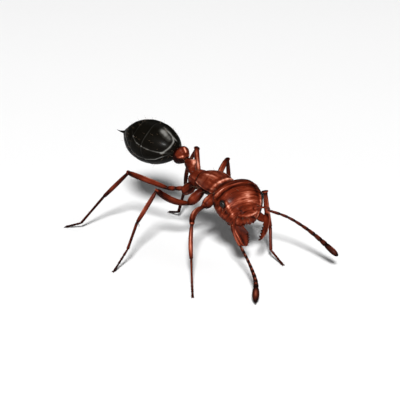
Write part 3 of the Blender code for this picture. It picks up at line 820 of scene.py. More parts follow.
def mouth():
    """The labrum over the mouth, the lip under it and two palps of three joints."""
    shells = Shells()
    shells.add_limb((0.46, 0, -0.04), (0.60, 0, -0.13),
                    [(0, 0.03), (0.2, 0.09), (0.6, 0.10), (0.9, 0.06), (1, 0.02)], 0.5, axes=HEAD, flat=1.8)
    shells.add_limb((0.28, 0, -0.28), (0.55, 0, -0.22),
                    [(0, 0.05), (0.2, 0.11), (0.7, 0.10), (1, 0.03)], 0.55, axes=HEAD, flat=1.6)
    for side in SIDES.values():
        joints = [np.array(joint) * (1, side, 1) for joint in PALP_JOINTS]
        for first, second in zip(joints, joints[1:]):
            shells.add_limb(first, second, [(0, 0.010), (0.2, 0.020), (0.8, 0.024), (1, 0.010)], 0.1,
                            axes=HEAD, sides=12)
    return shells.make("mouth_parts", BROWN)


mouth_parts = mouth()
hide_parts("head")

# %% [markdown]
# ## Feelers
# An antenna is a long first joint, the scape, then an elbow, and a chain of short joints, the
# funiculus, that ends in a club of two. Each joint is narrow at its foot and swells before the
# next, which is what makes the chain look beaded.

# %% Paths and profiles of the feelers
ANTENNA_PATHS = {       # from the elbow to the tip, mm
    "right": [(2.24, -0.62, 0.96), (2.80, -0.80, 0.72), (3.22, -1.00, 0.54), (3.55, -1.16, 0.41),
              (4.08, -1.50, 0.16)],
    "left": [(1.54, 0.86, 1.45), (1.97, 1.16, 1.37), (2.40, 1.40, 1.17), (2.85, 1.55, 0.92),
             (3.40, 1.74, 0.55)],
}
SCAPE_BOW = {"right": (-0.06, -0.18, 0.04), "left": (0.10, 0.10, 0.06)}
# How far each point of a chain lies aside from the solid's own
CHAIN_ASIDE = {
    "right": [(-0.006, -0.009, 0), (0.006, 0.008, 0), (0.028, 0.038, 0), (0.022, 0.030, 0),
              (-0.016, -0.023, -0.050)],
    "left": [(0, 0, 0.033), (0, 0, -0.008), (0, 0, -0.024), (0, 0, 0), (0.026, 0.036, -0.035)],
}
SCAPE_PROFILE = [(0, 0.012), (0.02, 0.034), (0.05, 0.036), (0.09, 0.020), (0.16, 0.026), (0.45, 0.030),
                 (0.8, 0.036), (0.95, 0.040), (0.99, 0.032), (1, 0.016)]
# Profiles of a joint and of the club's end: share of length, share of its radius
BEAD_PROFILE = [(0, 0.62), (0.12, 0.80), (0.50, 0.97), (0.85, 1.00), (0.96, 0.86), (1, 0.60)]
CLUB_PROFILE = {
    "right": [(0, 0.35), (0.06, 0.62), (0.22, 0.88), (0.45, 1.00), (0.68, 0.86), (0.86, 0.50),
              (0.96, 0.20), (1, 0.05)],
    "left": [(0, 0.50), (0.06, 0.76), (0.22, 0.93), (0.50, 1.00), (0.72, 0.94), (0.88, 0.70),
             (0.97, 0.38), (1, 0.12)],
}
CLUB_RADIUS = {"right": 0.097, "left": 0.082}
CLUB_START = {"right": 0.67, "left": 0.73}      # share of the chain's length
CLUB_FOOT_RADIUS, CLUB_FOOT_LENGTH = 0.070, 0.07    # the club's first joint: mm, and share of the chain
JOINT_OVERLAP = 0.004                           # share of the chain
# Joints before the club: share of the way to it where each starts, and its radius
BEADS = [(0.0, 0.041), (0.20, 0.040), (0.33, 0.041), (0.46, 0.044), (0.59, 0.049), (0.72, 0.055),
         (0.86, 0.061)]
print(len(BEADS), "joints and the club's two in each chain")


# %% Antennae
def along_path(points, shares):
    """Points at those shares of the length of a smooth path."""
    fine = smooth_through(points, np.linspace(0, len(points) - 1, 200))
    reached = np.concatenate([[0], np.cumsum(np.linalg.norm(np.diff(fine, axis=0), axis=1))])
    return np.stack([np.interp(np.asarray(shares) * reached[-1], reached, fine[:, k]) for k in range(3)], -1)


def beaded(local, tone):
    """Shade of one joint: dark at both ends, with a painted highlight along its top."""
    share, around = local[..., 0] / local[..., 0].max(), np.arctan2(local[..., 1], local[..., 2])
    ends = 0.7 * (hill(share, 0.15) + hill(share - 1, 0.15))
    return tone + ends - 0.95 * hill(around, 0.6) * hill(share - 0.5, 0.28)


def antenna(side_name, side):
    """The scape, and the chain with its club, as two pieces."""
    path = np.array(ANTENNA_PATHS[side_name]) + CHAIN_ASIDE[side_name]
    socket = HEAD.world((SOCKET[0], side * (SOCKET[1] + SOCKET_ASIDE), 0.36))
    rod, chain = Shells(), Shells()
    rings, local = limb(socket, path[0], SCAPE_PROFILE, bow=SCAPE_BOW[side_name], sides=24, steps=5)
    rod.add(rings, tone=0.10 + 0.5 * rise(0.9, 1.2, local[..., 0]), local=local, hair=0.6)
    club_start = CLUB_START[side_name]
    starts = [share * club_start for share, _ in BEADS] + [club_start]
    for (_, radius), start, after in zip(BEADS, starts, starts[1:]):
        first, second = along_path(path, [start - JOINT_OVERLAP, after + JOINT_OVERLAP / 2])
        rings, local = limb(first, second, scaled(BEAD_PROFILE, radius), sides=18, steps=5)
        chain.add(rings, tone=beaded(local, 0.25 + 0.25 * start), local=local)
    foot, waist, tip = along_path(path, [club_start - JOINT_OVERLAP, club_start + CLUB_FOOT_LENGTH, 1.0])
    rings, local = limb(foot, waist + (waist - foot) * 0.1, scaled(BEAD_PROFILE, CLUB_FOOT_RADIUS),
                        sides=20, steps=5)
    chain.add(rings, tone=beaded(local, 0.5), local=local)
    rings, local = limb(waist, tip, scaled(CLUB_PROFILE[side_name], CLUB_RADIUS[side_name]),
                        sides=28, steps=5)
    lighter_tip = 0.2 * rise(0.5, 1.0, local[..., 0] / local[..., 0].max())
    chain.add(rings, tone=beaded(local, 0.55) - lighter_tip, local=local)
    scape, feeler = rod.make(f"scape_{side_name}_rod", RED), chain.make(f"feeler_{side_name}", BROWN)
    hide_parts(f"scape_{side_name}")
    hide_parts(f"funiculus_{side_name}", f"club_{side_name}")
    return scape, feeler


scapes, feelers = zip(*(antenna(side_name, side) for side_name, side in SIDES.items()))

# %% [markdown]
# ## Chest and waist
# The mesosoma is the chest: a domed pronotum, then the mesonotum, a sharp groove, and the
# propodeum, which slopes down to the waist. Its plates meet in sutures, written here as soft
# valleys. The waist has two nodes, the petiole with a tall thin scale and the rounder
# postpetiole, and this pair of nodes is how a fire ant is told from many other ants.

# %% Mesosoma
MESOSOMA_HEIGHT = 2.12                      # of its middle above the floor, mm
# Stations here and below: forward, half width, top and bottom, mm
MESOSOMA_STATIONS = [
    (0.93, 0.10, 0.12, -0.08), (0.86, 0.15, 0.17, -0.13), (0.74, 0.30, 0.25, -0.23),
    (0.54, 0.39, 0.315, -0.33), (0.30, 0.41, 0.335, -0.39), (0.05, 0.37, 0.30, -0.415),
    (-0.16, 0.32, 0.24, -0.415), (-0.26, 0.295, 0.195, -0.41), (-0.37, 0.295, 0.20, -0.40),
    (-0.55, 0.275, 0.175, -0.37), (-0.70, 0.235, 0.09, -0.31), (-0.80, 0.17, -0.01, -0.25),
    (-0.85, 0.09, -0.07, -0.19),
]
NECK_PROFILE = [(0, 0.08), (0.3, 0.105), (0.7, 0.105), (1, 0.07)]


def mesosoma():
    """The chest and the neck as one piece."""
    rings = loft(MESOSOMA_STATIONS, sides=160, steps=13)
    rings[..., 1:] *= INSET
    x, y, z = rings[..., 0], rings[..., 1], rings[..., 2]
    side, top, flank = np.abs(y), rise(-0.10, 0.05, z), rise(0.10, 0.22, np.abs(y))
    # painted shade: darker towards the bottom
    push, dark = np.zeros(x.shape), 0.55 * (1 - rise(-0.34, -0.02, z))
    # the collar behind the head: a broad ridge with a painted highlight along it, strongest on top,
    # and painted shade on both its sides
    collar = x - (0.625 + 0.69 * z)
    collared = rise(-0.30, -0.15, z)
    push += (0.018 * hill(collar, 0.040) - 0.008 * hill(collar + 0.10, 0.040)) * collared
    dark += (-(0.20 + 0.26 * rise(0.0, 0.2, z)) * hill(collar, 0.048) + 0.40 * hill(collar - 0.10, 0.05)
             + 0.35 * hill(collar + 0.11, 0.06)) * collared
    # the sutures across the back
    front_suture = x - (0.26 - 0.20 * rise(0.25, -0.15, z) + 0.10 * (side / 0.4) ** 2)
    back_suture = x + 0.265 + 0.05 * rise(0.1, -0.2, z)
    push += -0.005 * hill(front_suture, 0.020) - 0.022 * hill(back_suture, 0.024) * rise(-0.30, -0.18, z)
    dark += 0.16 * hill(front_suture, 0.030) + 0.60 * hill(back_suture, 0.035)
    # the crease along the flank, with a painted highlight on its edge and painted shade under it
    highlight_line = z + 0.05 + 0.11 * (x + 0.24)
    creased = between(-0.26, 0.58, 0.10, x) * rise(0.16, 0.24, side)
    push += (0.014 * hill(highlight_line, 0.022) - 0.012 * hill(highlight_line + 0.060, 0.035)) * creased
    dark += (-0.62 * hill(highlight_line, 0.016) + 0.40 * hill(highlight_line + 0.075, 0.045)) * creased
    # the slanting suture below the crease
    slanted = (x + 0.02) * 0.75 + (z + 0.10) * 0.9
    slanting = flank * between(-0.21, 0.17, 0.10, x) * (1 - top)
    push -= 0.010 * hill(slanted, 0.016) * slanting
    dark += 0.45 * hill(slanted, 0.022) * slanting
    # the propodeum: its side ridge, breathing hole and gland
    hind = flank * (1 - rise(-0.34, -0.28, x))
    hind_ridge = z + 0.03 + 0.12 * (x + 0.5)
    push += -0.010 * hill(hind_ridge, 0.016) * hind
    dark += 0.40 * hill(hind_ridge, 0.022) * hind - 0.35 * hill(hind_ridge - 0.05, 0.03) * hind
    spiracle, gland = np.hypot(x + 0.50, z - 0.03), np.hypot(x + 0.66, (z + 0.19) * 1.2)
    push += flank * (0.010 * hill(spiracle - 0.030, 0.010) - 0.014 * hill(spiracle, 0.018)
                     + 0.020 * hill(gland, 0.075))
    dark += flank * (0.4 * hill(spiracle, 0.02) - 0.25 * hill(gland, 0.06))
    # a painted highlight along each shoulder, where the back turns down into the side
    shoulder = side - (0.20 + 0.03 * np.sin(6 * x))
    dark -= 0.40 * hill(shoulder, 0.028) * between(-0.05, 0.56, 0.20, x) * top
    rings = pushed(rings, push)
    shells = Shells()
    shells.add(rings + (0, 0, MESOSOMA_HEIGHT), tone=dark, local=rings)
    shells.add_limb((0.88, 0, 2.16), (1.16, 0, 2.12), NECK_PROFILE, 0.8, hair=0.0)
    piece = shells.make("mesosoma", RED)
    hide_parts("pronotum", "mesothorax", "propodeum")
    return piece


chest = mesosoma()

# %% Petiole and postpetiole
PETIOLE_LENGTH, POSTPETIOLE_LENGTH = 0.56, 0.46     # mm
PETIOLE = Axes((-0.72, 0.0, 2.07), 0, -46)
POSTPETIOLE = Axes(PETIOLE.world((-PETIOLE_LENGTH, 0, 0)), 0, -17)
PETIOLE_STATIONS = [
    (0.06, 0.07, 0.06, -0.06), (0.00, 0.085, 0.075, -0.08), (-0.12, 0.095, 0.09, -0.10),
    (-0.21, 0.12, 0.17, -0.105), (-0.28, 0.155, 0.27, -0.11), (-0.34, 0.165, 0.30, -0.11),
    (-0.40, 0.15, 0.23, -0.105), (-0.47, 0.11, 0.11, -0.095), (-0.56, 0.085, 0.065, -0.08),
    (-0.62, 0.07, 0.05, -0.06),
]
POSTPETIOLE_STATIONS = [
    (0.03, 0.06, 0.05, -0.06), (0.00, 0.085, 0.065, -0.08), (-0.08, 0.148, 0.170, -0.185),
    (-0.19, 0.228, 0.262, -0.285), (-0.30, 0.243, 0.235, -0.330), (-0.39, 0.188, 0.140, -0.275),
    (-0.46, 0.12, 0.09, -0.135), (-0.52, 0.10, 0.08, -0.09),
]
# Painted highlights on the postpetiole: down its flank, and over its front
FLANK_HIGHLIGHT = [(-0.16, -0.19, -0.03), (-0.06, -0.10, 0.06)]
FRONT_HIGHLIGHT = [(-0.17, -0.01, 0.25), (-0.08, 0.0, 0.17)]


def waist():
    """Both nodes as one piece."""
    shells = Shells()
    # the petiole: its keel, the groove before its scale with a lighter band behind it, dark ends,
    # painted shade below and on its sides, and a painted highlight on the scale's rim
    rings = loft(PETIOLE_STATIONS, sides=72, steps=9)
    x, y, z = rings[..., 0], rings[..., 1], rings[..., 2]
    keel = hill(x + 0.10, 0.03) * (1 - rise(-0.10, -0.06, z)) * hill(y, 0.03)
    push = -0.010 * hill(x + 0.18, 0.02) * rise(-0.02, 0.08, z) + 0.012 * keel
    dark = 0.7 * hill(x + 0.02, 0.05) + 0.6 * hill(x + 0.55, 0.06) + 0.35 * (1 - rise(-0.1, 0.1, z))
    dark += (-0.95 * hill(z - 0.26, 0.050) * hill(y, 0.08) * (x < -0.2) + 0.3 * rise(0.07, 0.14, np.abs(y))
             - 0.35 * hill(x + 0.20, 0.03) * rise(0.0, 0.1, z))
    rings = pushed(rings, push)
    shells.add(PETIOLE.world(rings), tone=dark, local=rings)
    # the postpetiole: a groove before its hind rim, a ring near its front, painted shade below and
    # behind, and painted highlights down its flank and over its front
    rings = loft(POSTPETIOLE_STATIONS, sides=84, steps=9)
    x, y, z = rings[..., 0], rings[..., 1], rings[..., 2]
    push = -0.014 * hill(x + 0.37, 0.022) + 0.012 * hill(x + 0.10, 0.02) - 0.008 * hill(x + 0.15, 0.02)
    dark = 0.15 + 1.0 * (1 - rise(-0.34, -0.20, x)) + 1.3 * (1 - rise(-0.12, 0.05, z))
    folded = stack(x, -np.abs(y), z)
    # painted highlights down the flank and over the front
    dark -= 0.98 * hill(away_from(FLANK_HIGHLIGHT, folded), 0.030)
    dark -= 0.85 * hill(away_from(FRONT_HIGHLIGHT, folded), 0.026)
    rings = pushed(rings, push)
    shells.add(POSTPETIOLE.world(rings), tone=dark, local=rings)
    piece = shells.make("waist", RED)
    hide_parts("petiole", "postpetiole")
    return piece


waist_nodes = waist()

# %% [markdown]
# ## Gaster and sting
# The gaster is the black, egg-shaped end of the body. Four broad plates overlap like roof tiles,
# each sliding out from under the one in front, and a seam along each side parts the upper plates
# from the lower ones. The sting is a short curved needle at the tip.

# %% Gaster
GASTER = Axes(POSTPETIOLE.world((-POSTPETIOLE_LENGTH, 0, 0)), 10, -3)
GASTER_LENGTH, GASTER_WIDTH, GASTER_DEPTH = 2.06, 1.36, 1.27
GASTER_SWELL = [                # share of length, share of width and depth
    (0.00, 0.14), (0.03, 0.33), (0.09, 0.54), (0.19, 0.75), (0.34, 0.94), (0.50, 1.00),
    (0.66, 0.93), (0.80, 0.73), (0.91, 0.46), (0.97, 0.23), (1.00, 0.07),
]
PLATE_EDGES = (0.40, 0.60, 0.80, 0.92)      # share of length where each plate ends
PLATE_LIP = 0.012                           # mm
# Height of the seam and of a painted highlight line along each side, at places behind the gaster's front, mm
SIDE_SEAM = [(-2.06, 0.18), (-1.75, 0.14), (-1.48, 0.03), (-1.25, -0.20), (-1.03, -0.34),
             (-0.75, -0.38), (-0.45, -0.33), (-0.19, -0.19), (0.0, -0.08)]
SIDE_HIGHLIGHT = [(-2.06, 0.50), (-1.50, 0.46), (-1.28, 0.33), (-1.02, 0.124), (-0.75, 0.04),
               (-0.50, -0.02), (-0.23, -0.05), (0.0, -0.05)]
# Where the painted highlight curls up from the flank over the front, as places on the right side, mm
SHOULDER_HIGHLIGHT = [(-0.24, -0.40, -0.07), (-0.16, -0.335, 0.01), (-0.095, -0.24, 0.10), (-0.095, -0.07, 0.24),
                (-0.19, 0.0, 0.345), (-0.33, 0.0, 0.43), (-0.46, 0.0, 0.50), (-0.56, 0.0, 0.54)]
BACK_HIGHLIGHT = [(-0.22, -0.14, 0.31), (-0.45, -0.14, 0.47)]       # and where the painted highlight on its back lies


def gaster():
    """The four plates as one piece."""
    stations = [(-GASTER_LENGTH * a, GASTER_WIDTH / 2 * w, GASTER_DEPTH / 2 * w, -GASTER_DEPTH / 2 * w)
                for a, w in GASTER_SWELL]
    rings = loft(stations, sides=144, steps=26)
    rings[..., 1:] *= INSET
    x, y, z = rings[..., 0], rings[..., 1], rings[..., 2]
    share, flank = -x / GASTER_LENGTH, rise(0.10, 0.16, np.abs(y))
    bent = share + 0.03 * np.sin(np.arctan2(y, z) * 2) ** 2
    push, dark = np.zeros(share.shape), np.full(share.shape, 0.15)
    # each plate dips under the one in front of it
    for edge in PLATE_EDGES:
        beyond = bent - edge
        push -= PLATE_LIP * rise(-0.001, 0.004, beyond) * np.exp(-np.maximum(beyond, 0) / 0.09)
        # a pale hind margin on each plate, and painted shade in the dip behind it
        dark += 0.3 * hill(beyond - 0.010, 0.012) - 0.45 * hill(beyond + 0.008, 0.006)
    # the seam along each side, darker in it with a painted highlight on its upper edge, and a painted
    # highlight line above it
    seam = z - np.interp(x, *np.array(SIDE_SEAM).T)
    push -= 0.012 * hill(seam, 0.018) * flank
    seam_dark_and_highlight = 0.3 * hill(seam, 0.014) - 0.90 * hill(seam - 0.032, 0.022)
    dark += seam_dark_and_highlight * flank * between(-1.8, -0.15, 0.3, x)
    highlight_line = z - np.interp(x, *np.array(SIDE_HIGHLIGHT).T)
    dark -= 0.70 * hill(highlight_line, 0.020) * flank * between(-1.30, -0.15, 0.30, x)
    # the painted highlights over the front and on the back, both weaker on the left
    folded = stack(x, -np.abs(y), z)
    right = 1 - 0.75 * rise(0.03, 0.12, y)
    dark -= 0.78 * hill(away_from(SHOULDER_HIGHLIGHT, folded), 0.034) * (1 - 0.5 * rise(-0.30, -0.50, x)) * right
    dark -= 0.72 * hill(away_from(BACK_HIGHLIGHT, folded), 0.12) * right
    rings = pushed(rings, push)
    shells = Shells()
    shells.add(GASTER.world(rings), tone=dark, local=rings)
    piece = shells.make("gaster", BLACK)
    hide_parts("gaster_1", "gaster_2", "gaster_3", "gaster_4")
    return piece


abdomen = gaster()

# %% Sting
STING_LENGTH, STING_ROOT = 0.42, 0.12       # out of the gaster's tip, and into it, mm
SHEATH_PROFILE = [(0, 0.20), (0.2, 0.175), (0.35, 0.12), (0.5, 0.068), (0.75, 0.034), (1, 0.012)]
NEEDLE_PROFILE = [(0, 0.03), (0.3, 0.030), (0.7, 0.017), (1, 0.003)]


def sting_needle():
    """The sheath that narrows out of the gaster, and the bent needle in it."""
    root, tip = (GASTER.world((-GASTER_LENGTH + back, 0, 0)) for back in (STING_ROOT, -STING_LENGTH))
    shells = Shells()
    shells.add_limb(root, root + (tip - root) * 0.7, SHEATH_PROFILE, 0.1, sides=28)
    shells.add_limb(root + (tip - root) * 0.2, tip, NEEDLE_PROFILE, 0.0, hair=0.0, bow=(0, 0, -0.015),
                    sides=16)
    piece = shells.make("sting_needle", BLACK)
    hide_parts("sting")
    return piece


sting = sting_needle()

# %% [markdown]
# ## Legs
# An ant's leg is coxa, a bead called the trochanter, femur, tibia and a tarsus of five joints with
# two claws. Femur and tibia are fullest a little past their middle and narrow at the knee, so that
# the joint can fold. A spur stands at the end of each tibia; on the fore leg it is a stout curved
# comb, for cleaning the feelers. The stance repeats the solids' own angles.

# %% The stance
LEG_LENGTHS = {     # mm
    "fore": {"coxa": 0.60, "femur": 1.15, "tibia": 0.97, "metatarsus": 0.68, "toe": 0.56},
    "mid": {"coxa": 0.50, "femur": 1.25, "tibia": 1.05, "metatarsus": 0.80, "toe": 0.62},
    "hind": {"coxa": 0.50, "femur": 1.55, "tibia": 1.38, "metatarsus": 0.95, "toe": 0.62},
}
COXA_BASES = {"fore": (0.52, 0.24, -0.32), "mid": (0.02, 0.25, -0.34), "hind": (-0.48, 0.22, -0.30)}
STANCE = {          # degrees out from straight ahead, and up; a toe only slopes down to the floor
    "fore_right": {"coxa": (79, -20), "femur": (47, -2), "tibia": (38, -66), "metatarsus": (33, -45),
                   "toe": 34},
    "mid_right": {"coxa": (118, -36), "femur": (91, 29), "tibia": (93, -55), "metatarsus": (91, -65),
                  "toe": 90},
    "hind_right": {"coxa": (158, -19), "femur": (150, 12), "tibia": (159, -43), "metatarsus": (151, -51),
                   "toe": 144},
    "fore_left": {"coxa": (99, -79), "femur": (51, 34), "tibia": (16, -81), "metatarsus": (-21, -61),
                  "toe": -5},
    "mid_left": {"coxa": (120, -44), "femur": (133, 44), "tibia": (109, -75), "metatarsus": (100, -68),
                 "toe": 148},
    "hind_left": {"coxa": (149, -21), "femur": (155, 29), "tibia": (179, -71), "metatarsus": (179, -68),
                  "toe": 176},
}
TOE_TIP_HEIGHT = 0.04                       # mm


def leg_points(name):
    """The root, hip, knee, ankle, heel and tip of a leg."""
    pair, side_name = name.split("_")
    side = SIDES[side_name]
    lengths, stance = LEG_LENGTHS[pair], STANCE[name]
    forward, out, up = COXA_BASES[pair]
    points = [np.array([forward, side * out, up + MESOSOMA_HEIGHT])]
    for segment in ("coxa", "femur", "tibia", "metatarsus"):
        points.append(points[-1] + heading(*stance[segment], side) * lengths[segment])
    drop = TOE_TIP_HEIGHT - points[-1][2]
    slope = math.degrees(math.asin(max(-1.0, drop / lengths["toe"])))
    points.append(points[-1] + heading(stance["toe"], slope, side) * lengths["toe"])
    return points


for name in STANCE:
    points = leg_points(name)
    print(name, "knee", np.round(points[2], 2), "foot", np.round(points[-1], 2))

# %% The cuticle's own joints and bends
# The shell of a leg is far thinner than its solid, so its joints can lie beside the solid's axes, mm
JOINT_ASIDE = {
    "fore_right": {"hip": (0.038, 0.088, 0.065), "knee": (0.001, 0.008, 0.012),
                   "ankle": (-0.002, 0.009, 0.022)},
    "mid_right": {"hip": (0.013, 0.030, 0.023), "knee": (0.026, 0.034, -0.003),
                  "ankle": (-0.003, 0.013, 0.032), "heel": (0.002, 0.038, 0.064)},
    "hind_right": {"hip": (-0.155, -0.194, 0.034), "knee": (-0.029, -0.037, 0.004),
                   "ankle": (0.018, 0.050, 0.045), "heel": (-0.041, -0.075, -0.085)},
    "fore_left": {"knee": (-0.003, 0.003, 0.012), "ankle": (0.024, 0.011, -0.039),
                  "heel": (-0.032, -0.042, 0.004)},
    "mid_left": {"hip": (-0.074, -0.101, 0.001), "knee": (-0.018, -0.011, 0.024),
                 "ankle": (-0.064, -0.089, 0.0)},
    "hind_left": {"hip": (-0.060, -0.080, 0), "knee": (0.039, 0.023, -0.030),
                  "ankle": (-0.017, -0.024, -0.001), "heel": (-0.023, -0.033, -0.003)},
}
STRAIGHT = (0, 0, 0)
COXA_BOW = {"hind_right": (0, 0, -0.08), "fore_right": (0.02, 0.02, -0.03)}
FEMUR_BOW = {"fore_right": (-0.056, -0.054, 0.056), "mid_right": (0, 0, -0.105),
             "fore_left": (0.02, 0.03, 0), "mid_left": (-0.076, -0.105, 0), "hind_left": (-0.03, -0.02, 0.03)}
TIBIA_BOW = {"fore_left": (-0.016, -0.022, 0), "hind_left": (-0.055, -0.076, 0),
             "fore_right": (-0.015, -0.02, 0)}
print("bent femurs:", *FEMUR_BOW)

# %% Profiles and shades of a leg's segments
# Profiles: share of length, radius in mm
COXA_PROFILE = {
    "fore": [(0, 0.05), (0.06, 0.09), (0.20, 0.125), (0.42, 0.150), (0.60, 0.140), (0.72, 0.098),
             (0.78, 0.045)],
    "mid": [(0, 0.05), (0.08, 0.100), (0.30, 0.135), (0.55, 0.145), (0.78, 0.125), (0.92, 0.083),
            (1, 0.04)],
    "hind": [(0, 0.10), (0.15, 0.150), (0.35, 0.160), (0.44, 0.145), (0.54, 0.145), (0.66, 0.110),
             (0.72, 0.045)],
}
COXA_REACH = {"fore": 0.72, "mid": 0.94, "hind": 0.66}      # share of the way where the next joint starts
TROCHANTER_BEADS = {"fore": 1, "mid": 1, "hind": 2}
TROCHANTER_PROFILE = [(0, 0.03), (0.18, 0.058), (0.5, 0.069), (0.82, 0.056), (1, 0.03)]
FEMUR_PROFILE = [(0, 0.030), (0.04, 0.052), (0.14, 0.064), (0.35, 0.076), (0.62, 0.082), (0.85, 0.078),
                 (0.96, 0.067), (1, 0.030)]
TIBIA_PROFILE = [(0, 0.030), (0.03, 0.048), (0.08, 0.046), (0.18, 0.054), (0.4, 0.061), (0.65, 0.062),
                 (0.85, 0.056), (0.96, 0.048), (1, 0.025)]
METATARSUS_PROFILE = [(0, 0.018), (0.04, 0.032), (0.2, 0.032), (0.6, 0.029), (0.90, 0.031), (0.98, 0.031),
                      (1, 0.016)]
TOE_PROFILE = [(0, 0.015), (0.10, 0.026), (0.55, 0.031), (0.90, 0.035), (1, 0.017)]
TOE_JOINTS = (0.0, 0.30, 0.50, 0.66, 1.0)
KNEE_RADIUS = {"fore_right": 0.068, "mid_right": 0.066, "hind_right": 0.074, "fore_left": 0.085,
               "mid_left": 0.070, "hind_left": 0.085}
# Legs whose segments are stouter than those profiles
FEMUR_SWELL = {"mid_right": 1.14}
TIBIA_SWELL = {"fore_left": 1.25}
METATARSUS_SWELL = {"fore_left": 1.45, "hind_left": 1.5, "hind_right": 1.2, "mid_right": 1.3}
SPUR_LENGTH = {"fore": 0.17, "mid": 0.13, "hind": 0.15}
SPUR_RADIUS = {"fore": 0.016, "mid": 0.010, "hind": 0.010}
# Shades: share of length, tone. Every segment is dark at its joints; the knee's middle has a painted
# highlight.
COXA_SHADE = [(0, 0.6), (0.3, 0.15), (0.6, -0.15), (0.9, 0.3), (1, 0.8)]
TROCHANTER_SHADE = [(0, 0.7), (0.4, -0.1), (1, 0.6)]
FEMUR_SHADE = [(0, 0.6), (0.12, 0.15), (0.5, -0.05), (0.85, 0.15), (1, 0.8)]
KNEE_SHADE = [(0, 0.7), (0.45, -0.12), (0.6, -0.12), (1, 0.8)]
TIBIA_SHADE = [(0, 0.7), (0.12, 0.2), (0.6, -0.05), (0.9, 0.3), (1, 0.8)]
METATARSUS_SHADE = [(0, 0.7), (0.1, 0.25), (1, 0.45)]
print("profiles for", len(KNEE_RADIUS), "legs")


# %% Legs
def claws(shells, tip, forward, side_axis):
    """Two hooked claws and the pad between them."""
    for side in (-1, 1):
        root = tip - forward * 0.02 + side_axis * side * 0.010
        bend = root + forward * 0.050 + side_axis * side * 0.020
        point = bend + forward * 0.030 + side_axis * side * 0.004
        point[2] = 0.004
        bend[2] = max(bend[2], 0.030)
        for first, last, profile in ((root, bend, [(0, 0.008), (0.3, 0.011), (1, 0.008)]),
                                     (bend, point, [(0, 0.008), (0.5, 0.006), (1, 0.002)])):
            shells.add_limb(first, last, profile, 0.8, hair=0.0, sides=10, steps=3)
    shells.add_limb(tip - forward * 0.01, tip + forward * 0.045 - np.array([0, 0, 0.018]),
                    [(0, 0.010), (0.4, 0.018), (0.8, 0.019), (1, 0.008)], 0.3, hair=0.0, sides=12)


def leg(name):
    """One leg, from the coxa to the claws, as one piece."""
    points, pair = leg_points(name), name.split("_")[0]
    socket = points[1].copy()
    for joint, aside in JOINT_ASIDE[name].items():
        points[("root", "hip", "knee", "ankle", "heel").index(joint)] += aside
    root, hip, knee, ankle, heel, tip = points
    root = root + (0, 0, 0.10)
    thigh, shin, foot = unit(knee - hip), unit(ankle - knee), unit(heel - ankle)
    shells = Shells()

    def segment(first, last, profile, tone, **options):
        """A limb with its shade along it, painted shade below and a painted highlight along its top."""
        rings, local = limb(first, last, profile, **options)
        share = local[..., 0] / max(local[..., 0].max(), 1e-9)
        shade = tone if np.isscalar(tone) else np.interp(share, *np.array(tone).T)
        around = np.arctan2(local[..., 1], local[..., 2])
        # a painted highlight along the top of the limb, and painted shade below it
        streak = 0.44 * hill(around, 0.28) * between(0.12, 0.90, 0.2, share)
        shells.add(rings, tone=shade + 0.20 - 0.22 * np.cos(around) - streak, local=local)

    segment(root, socket, COXA_PROFILE[pair], COXA_SHADE, bow=COXA_BOW.get(name, STRAIGHT), sides=36,
            steps=6)
    reached = root + (socket - root) * COXA_REACH[pair]
    chain = np.linspace(reached, hip + thigh * 0.07, TROCHANTER_BEADS[pair] + 1)
    for first, last in zip(chain, chain[1:]):
        overlap = (last - first) * 0.12
        segment(first - overlap, last + overlap, TROCHANTER_PROFILE, TROCHANTER_SHADE, sides=24)
    segment(hip + thigh * 0.05, knee, scaled(FEMUR_PROFILE, FEMUR_SWELL.get(name, 1.0)), FEMUR_SHADE,
            bow=FEMUR_BOW.get(name, STRAIGHT), sides=28, steps=6)
    bulb = KNEE_RADIUS[name]
    segment(knee - shin * 0.045 - thigh * 0.01, knee + shin * 0.05,
            [(0, 0.02), (0.3, bulb), (0.7, bulb * 0.9), (1, 0.02)], KNEE_SHADE, sides=20)
    segment(knee + shin * 0.01, ankle, scaled(TIBIA_PROFILE, TIBIA_SWELL.get(name, 1.0)), TIBIA_SHADE,
            bow=TIBIA_BOW.get(name, STRAIGHT), sides=28, steps=6)
    segment(ankle - foot * 0.02, heel, scaled(METATARSUS_PROFILE, METATARSUS_SWELL.get(name, 1.0)),
            METATARSUS_SHADE, sides=18)
    for start, end in zip(TOE_JOINTS, TOE_JOINTS[1:]):
        segment(heel + (tip - heel) * (start - 0.01), heel + (tip - heel) * end, TOE_PROFILE,
                0.35 + 0.35 * start, sides=16)
    level = unit((tip - heel) * (1, 1, 0))
    claws(shells, tip, level, np.cross((0, 0, 1), level))
    inward = unit(np.cross(unit(np.cross(shin, foot) + 1e-6), shin))
    length, radius = SPUR_LENGTH[pair], SPUR_RADIUS[pair]
    spur_root = ankle - shin * 0.03 + inward * 0.03
    segment(spur_root, spur_root + foot * length * 0.85 + inward * 0.055,
            [(0, 0.006), (0.2, radius), (0.6, radius * 0.7), (1, 0.002)], 0.4, bow=inward * 0.02, sides=10)
    piece = shells.make(f"leg_{name}", RED)
    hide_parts(*(f"{part}_{name}" for part in ("coxa", "femur", "tibia", "tarsus")))
    return piece


legs = [leg(name) for name in STANCE]

# %% [markdown]
# ## Bristles
# Fire ants carry a thin coat of stiff, pale red-brown hairs. Geometry Nodes scatter points over
# each shell, lean each hair from the normal towards the way the plate flows, and set a slim bent
# cone there. Each hair keeps the UV of its root, so that its own patch lies where it grows.

# %% The bristle tree
bristles = Nodes("bristles", [
    ("Density", "NodeSocketFloat", 40.0), ("Length", "NodeSocketFloat", 0.12 * MM),
    ("Thickness", "NodeSocketFloat", 0.004 * MM), ("Lean", "NodeSocketFloat", 0.5),
    ("Seed", "NodeSocketInt", 1)])
STRAY = 0.28                    # how far a hair may stray from the way the others lie
SHORTEST, LONGEST = 0.55, 1.15  # shares of the coat's own length
HAIR_BEND = 0.22                # how far the tip bends aside, as a share of length
HAIR_TIP = 0.0004               # radius, mm
ROOT_PATCH = 0.003              # how much of the UV map one hair takes


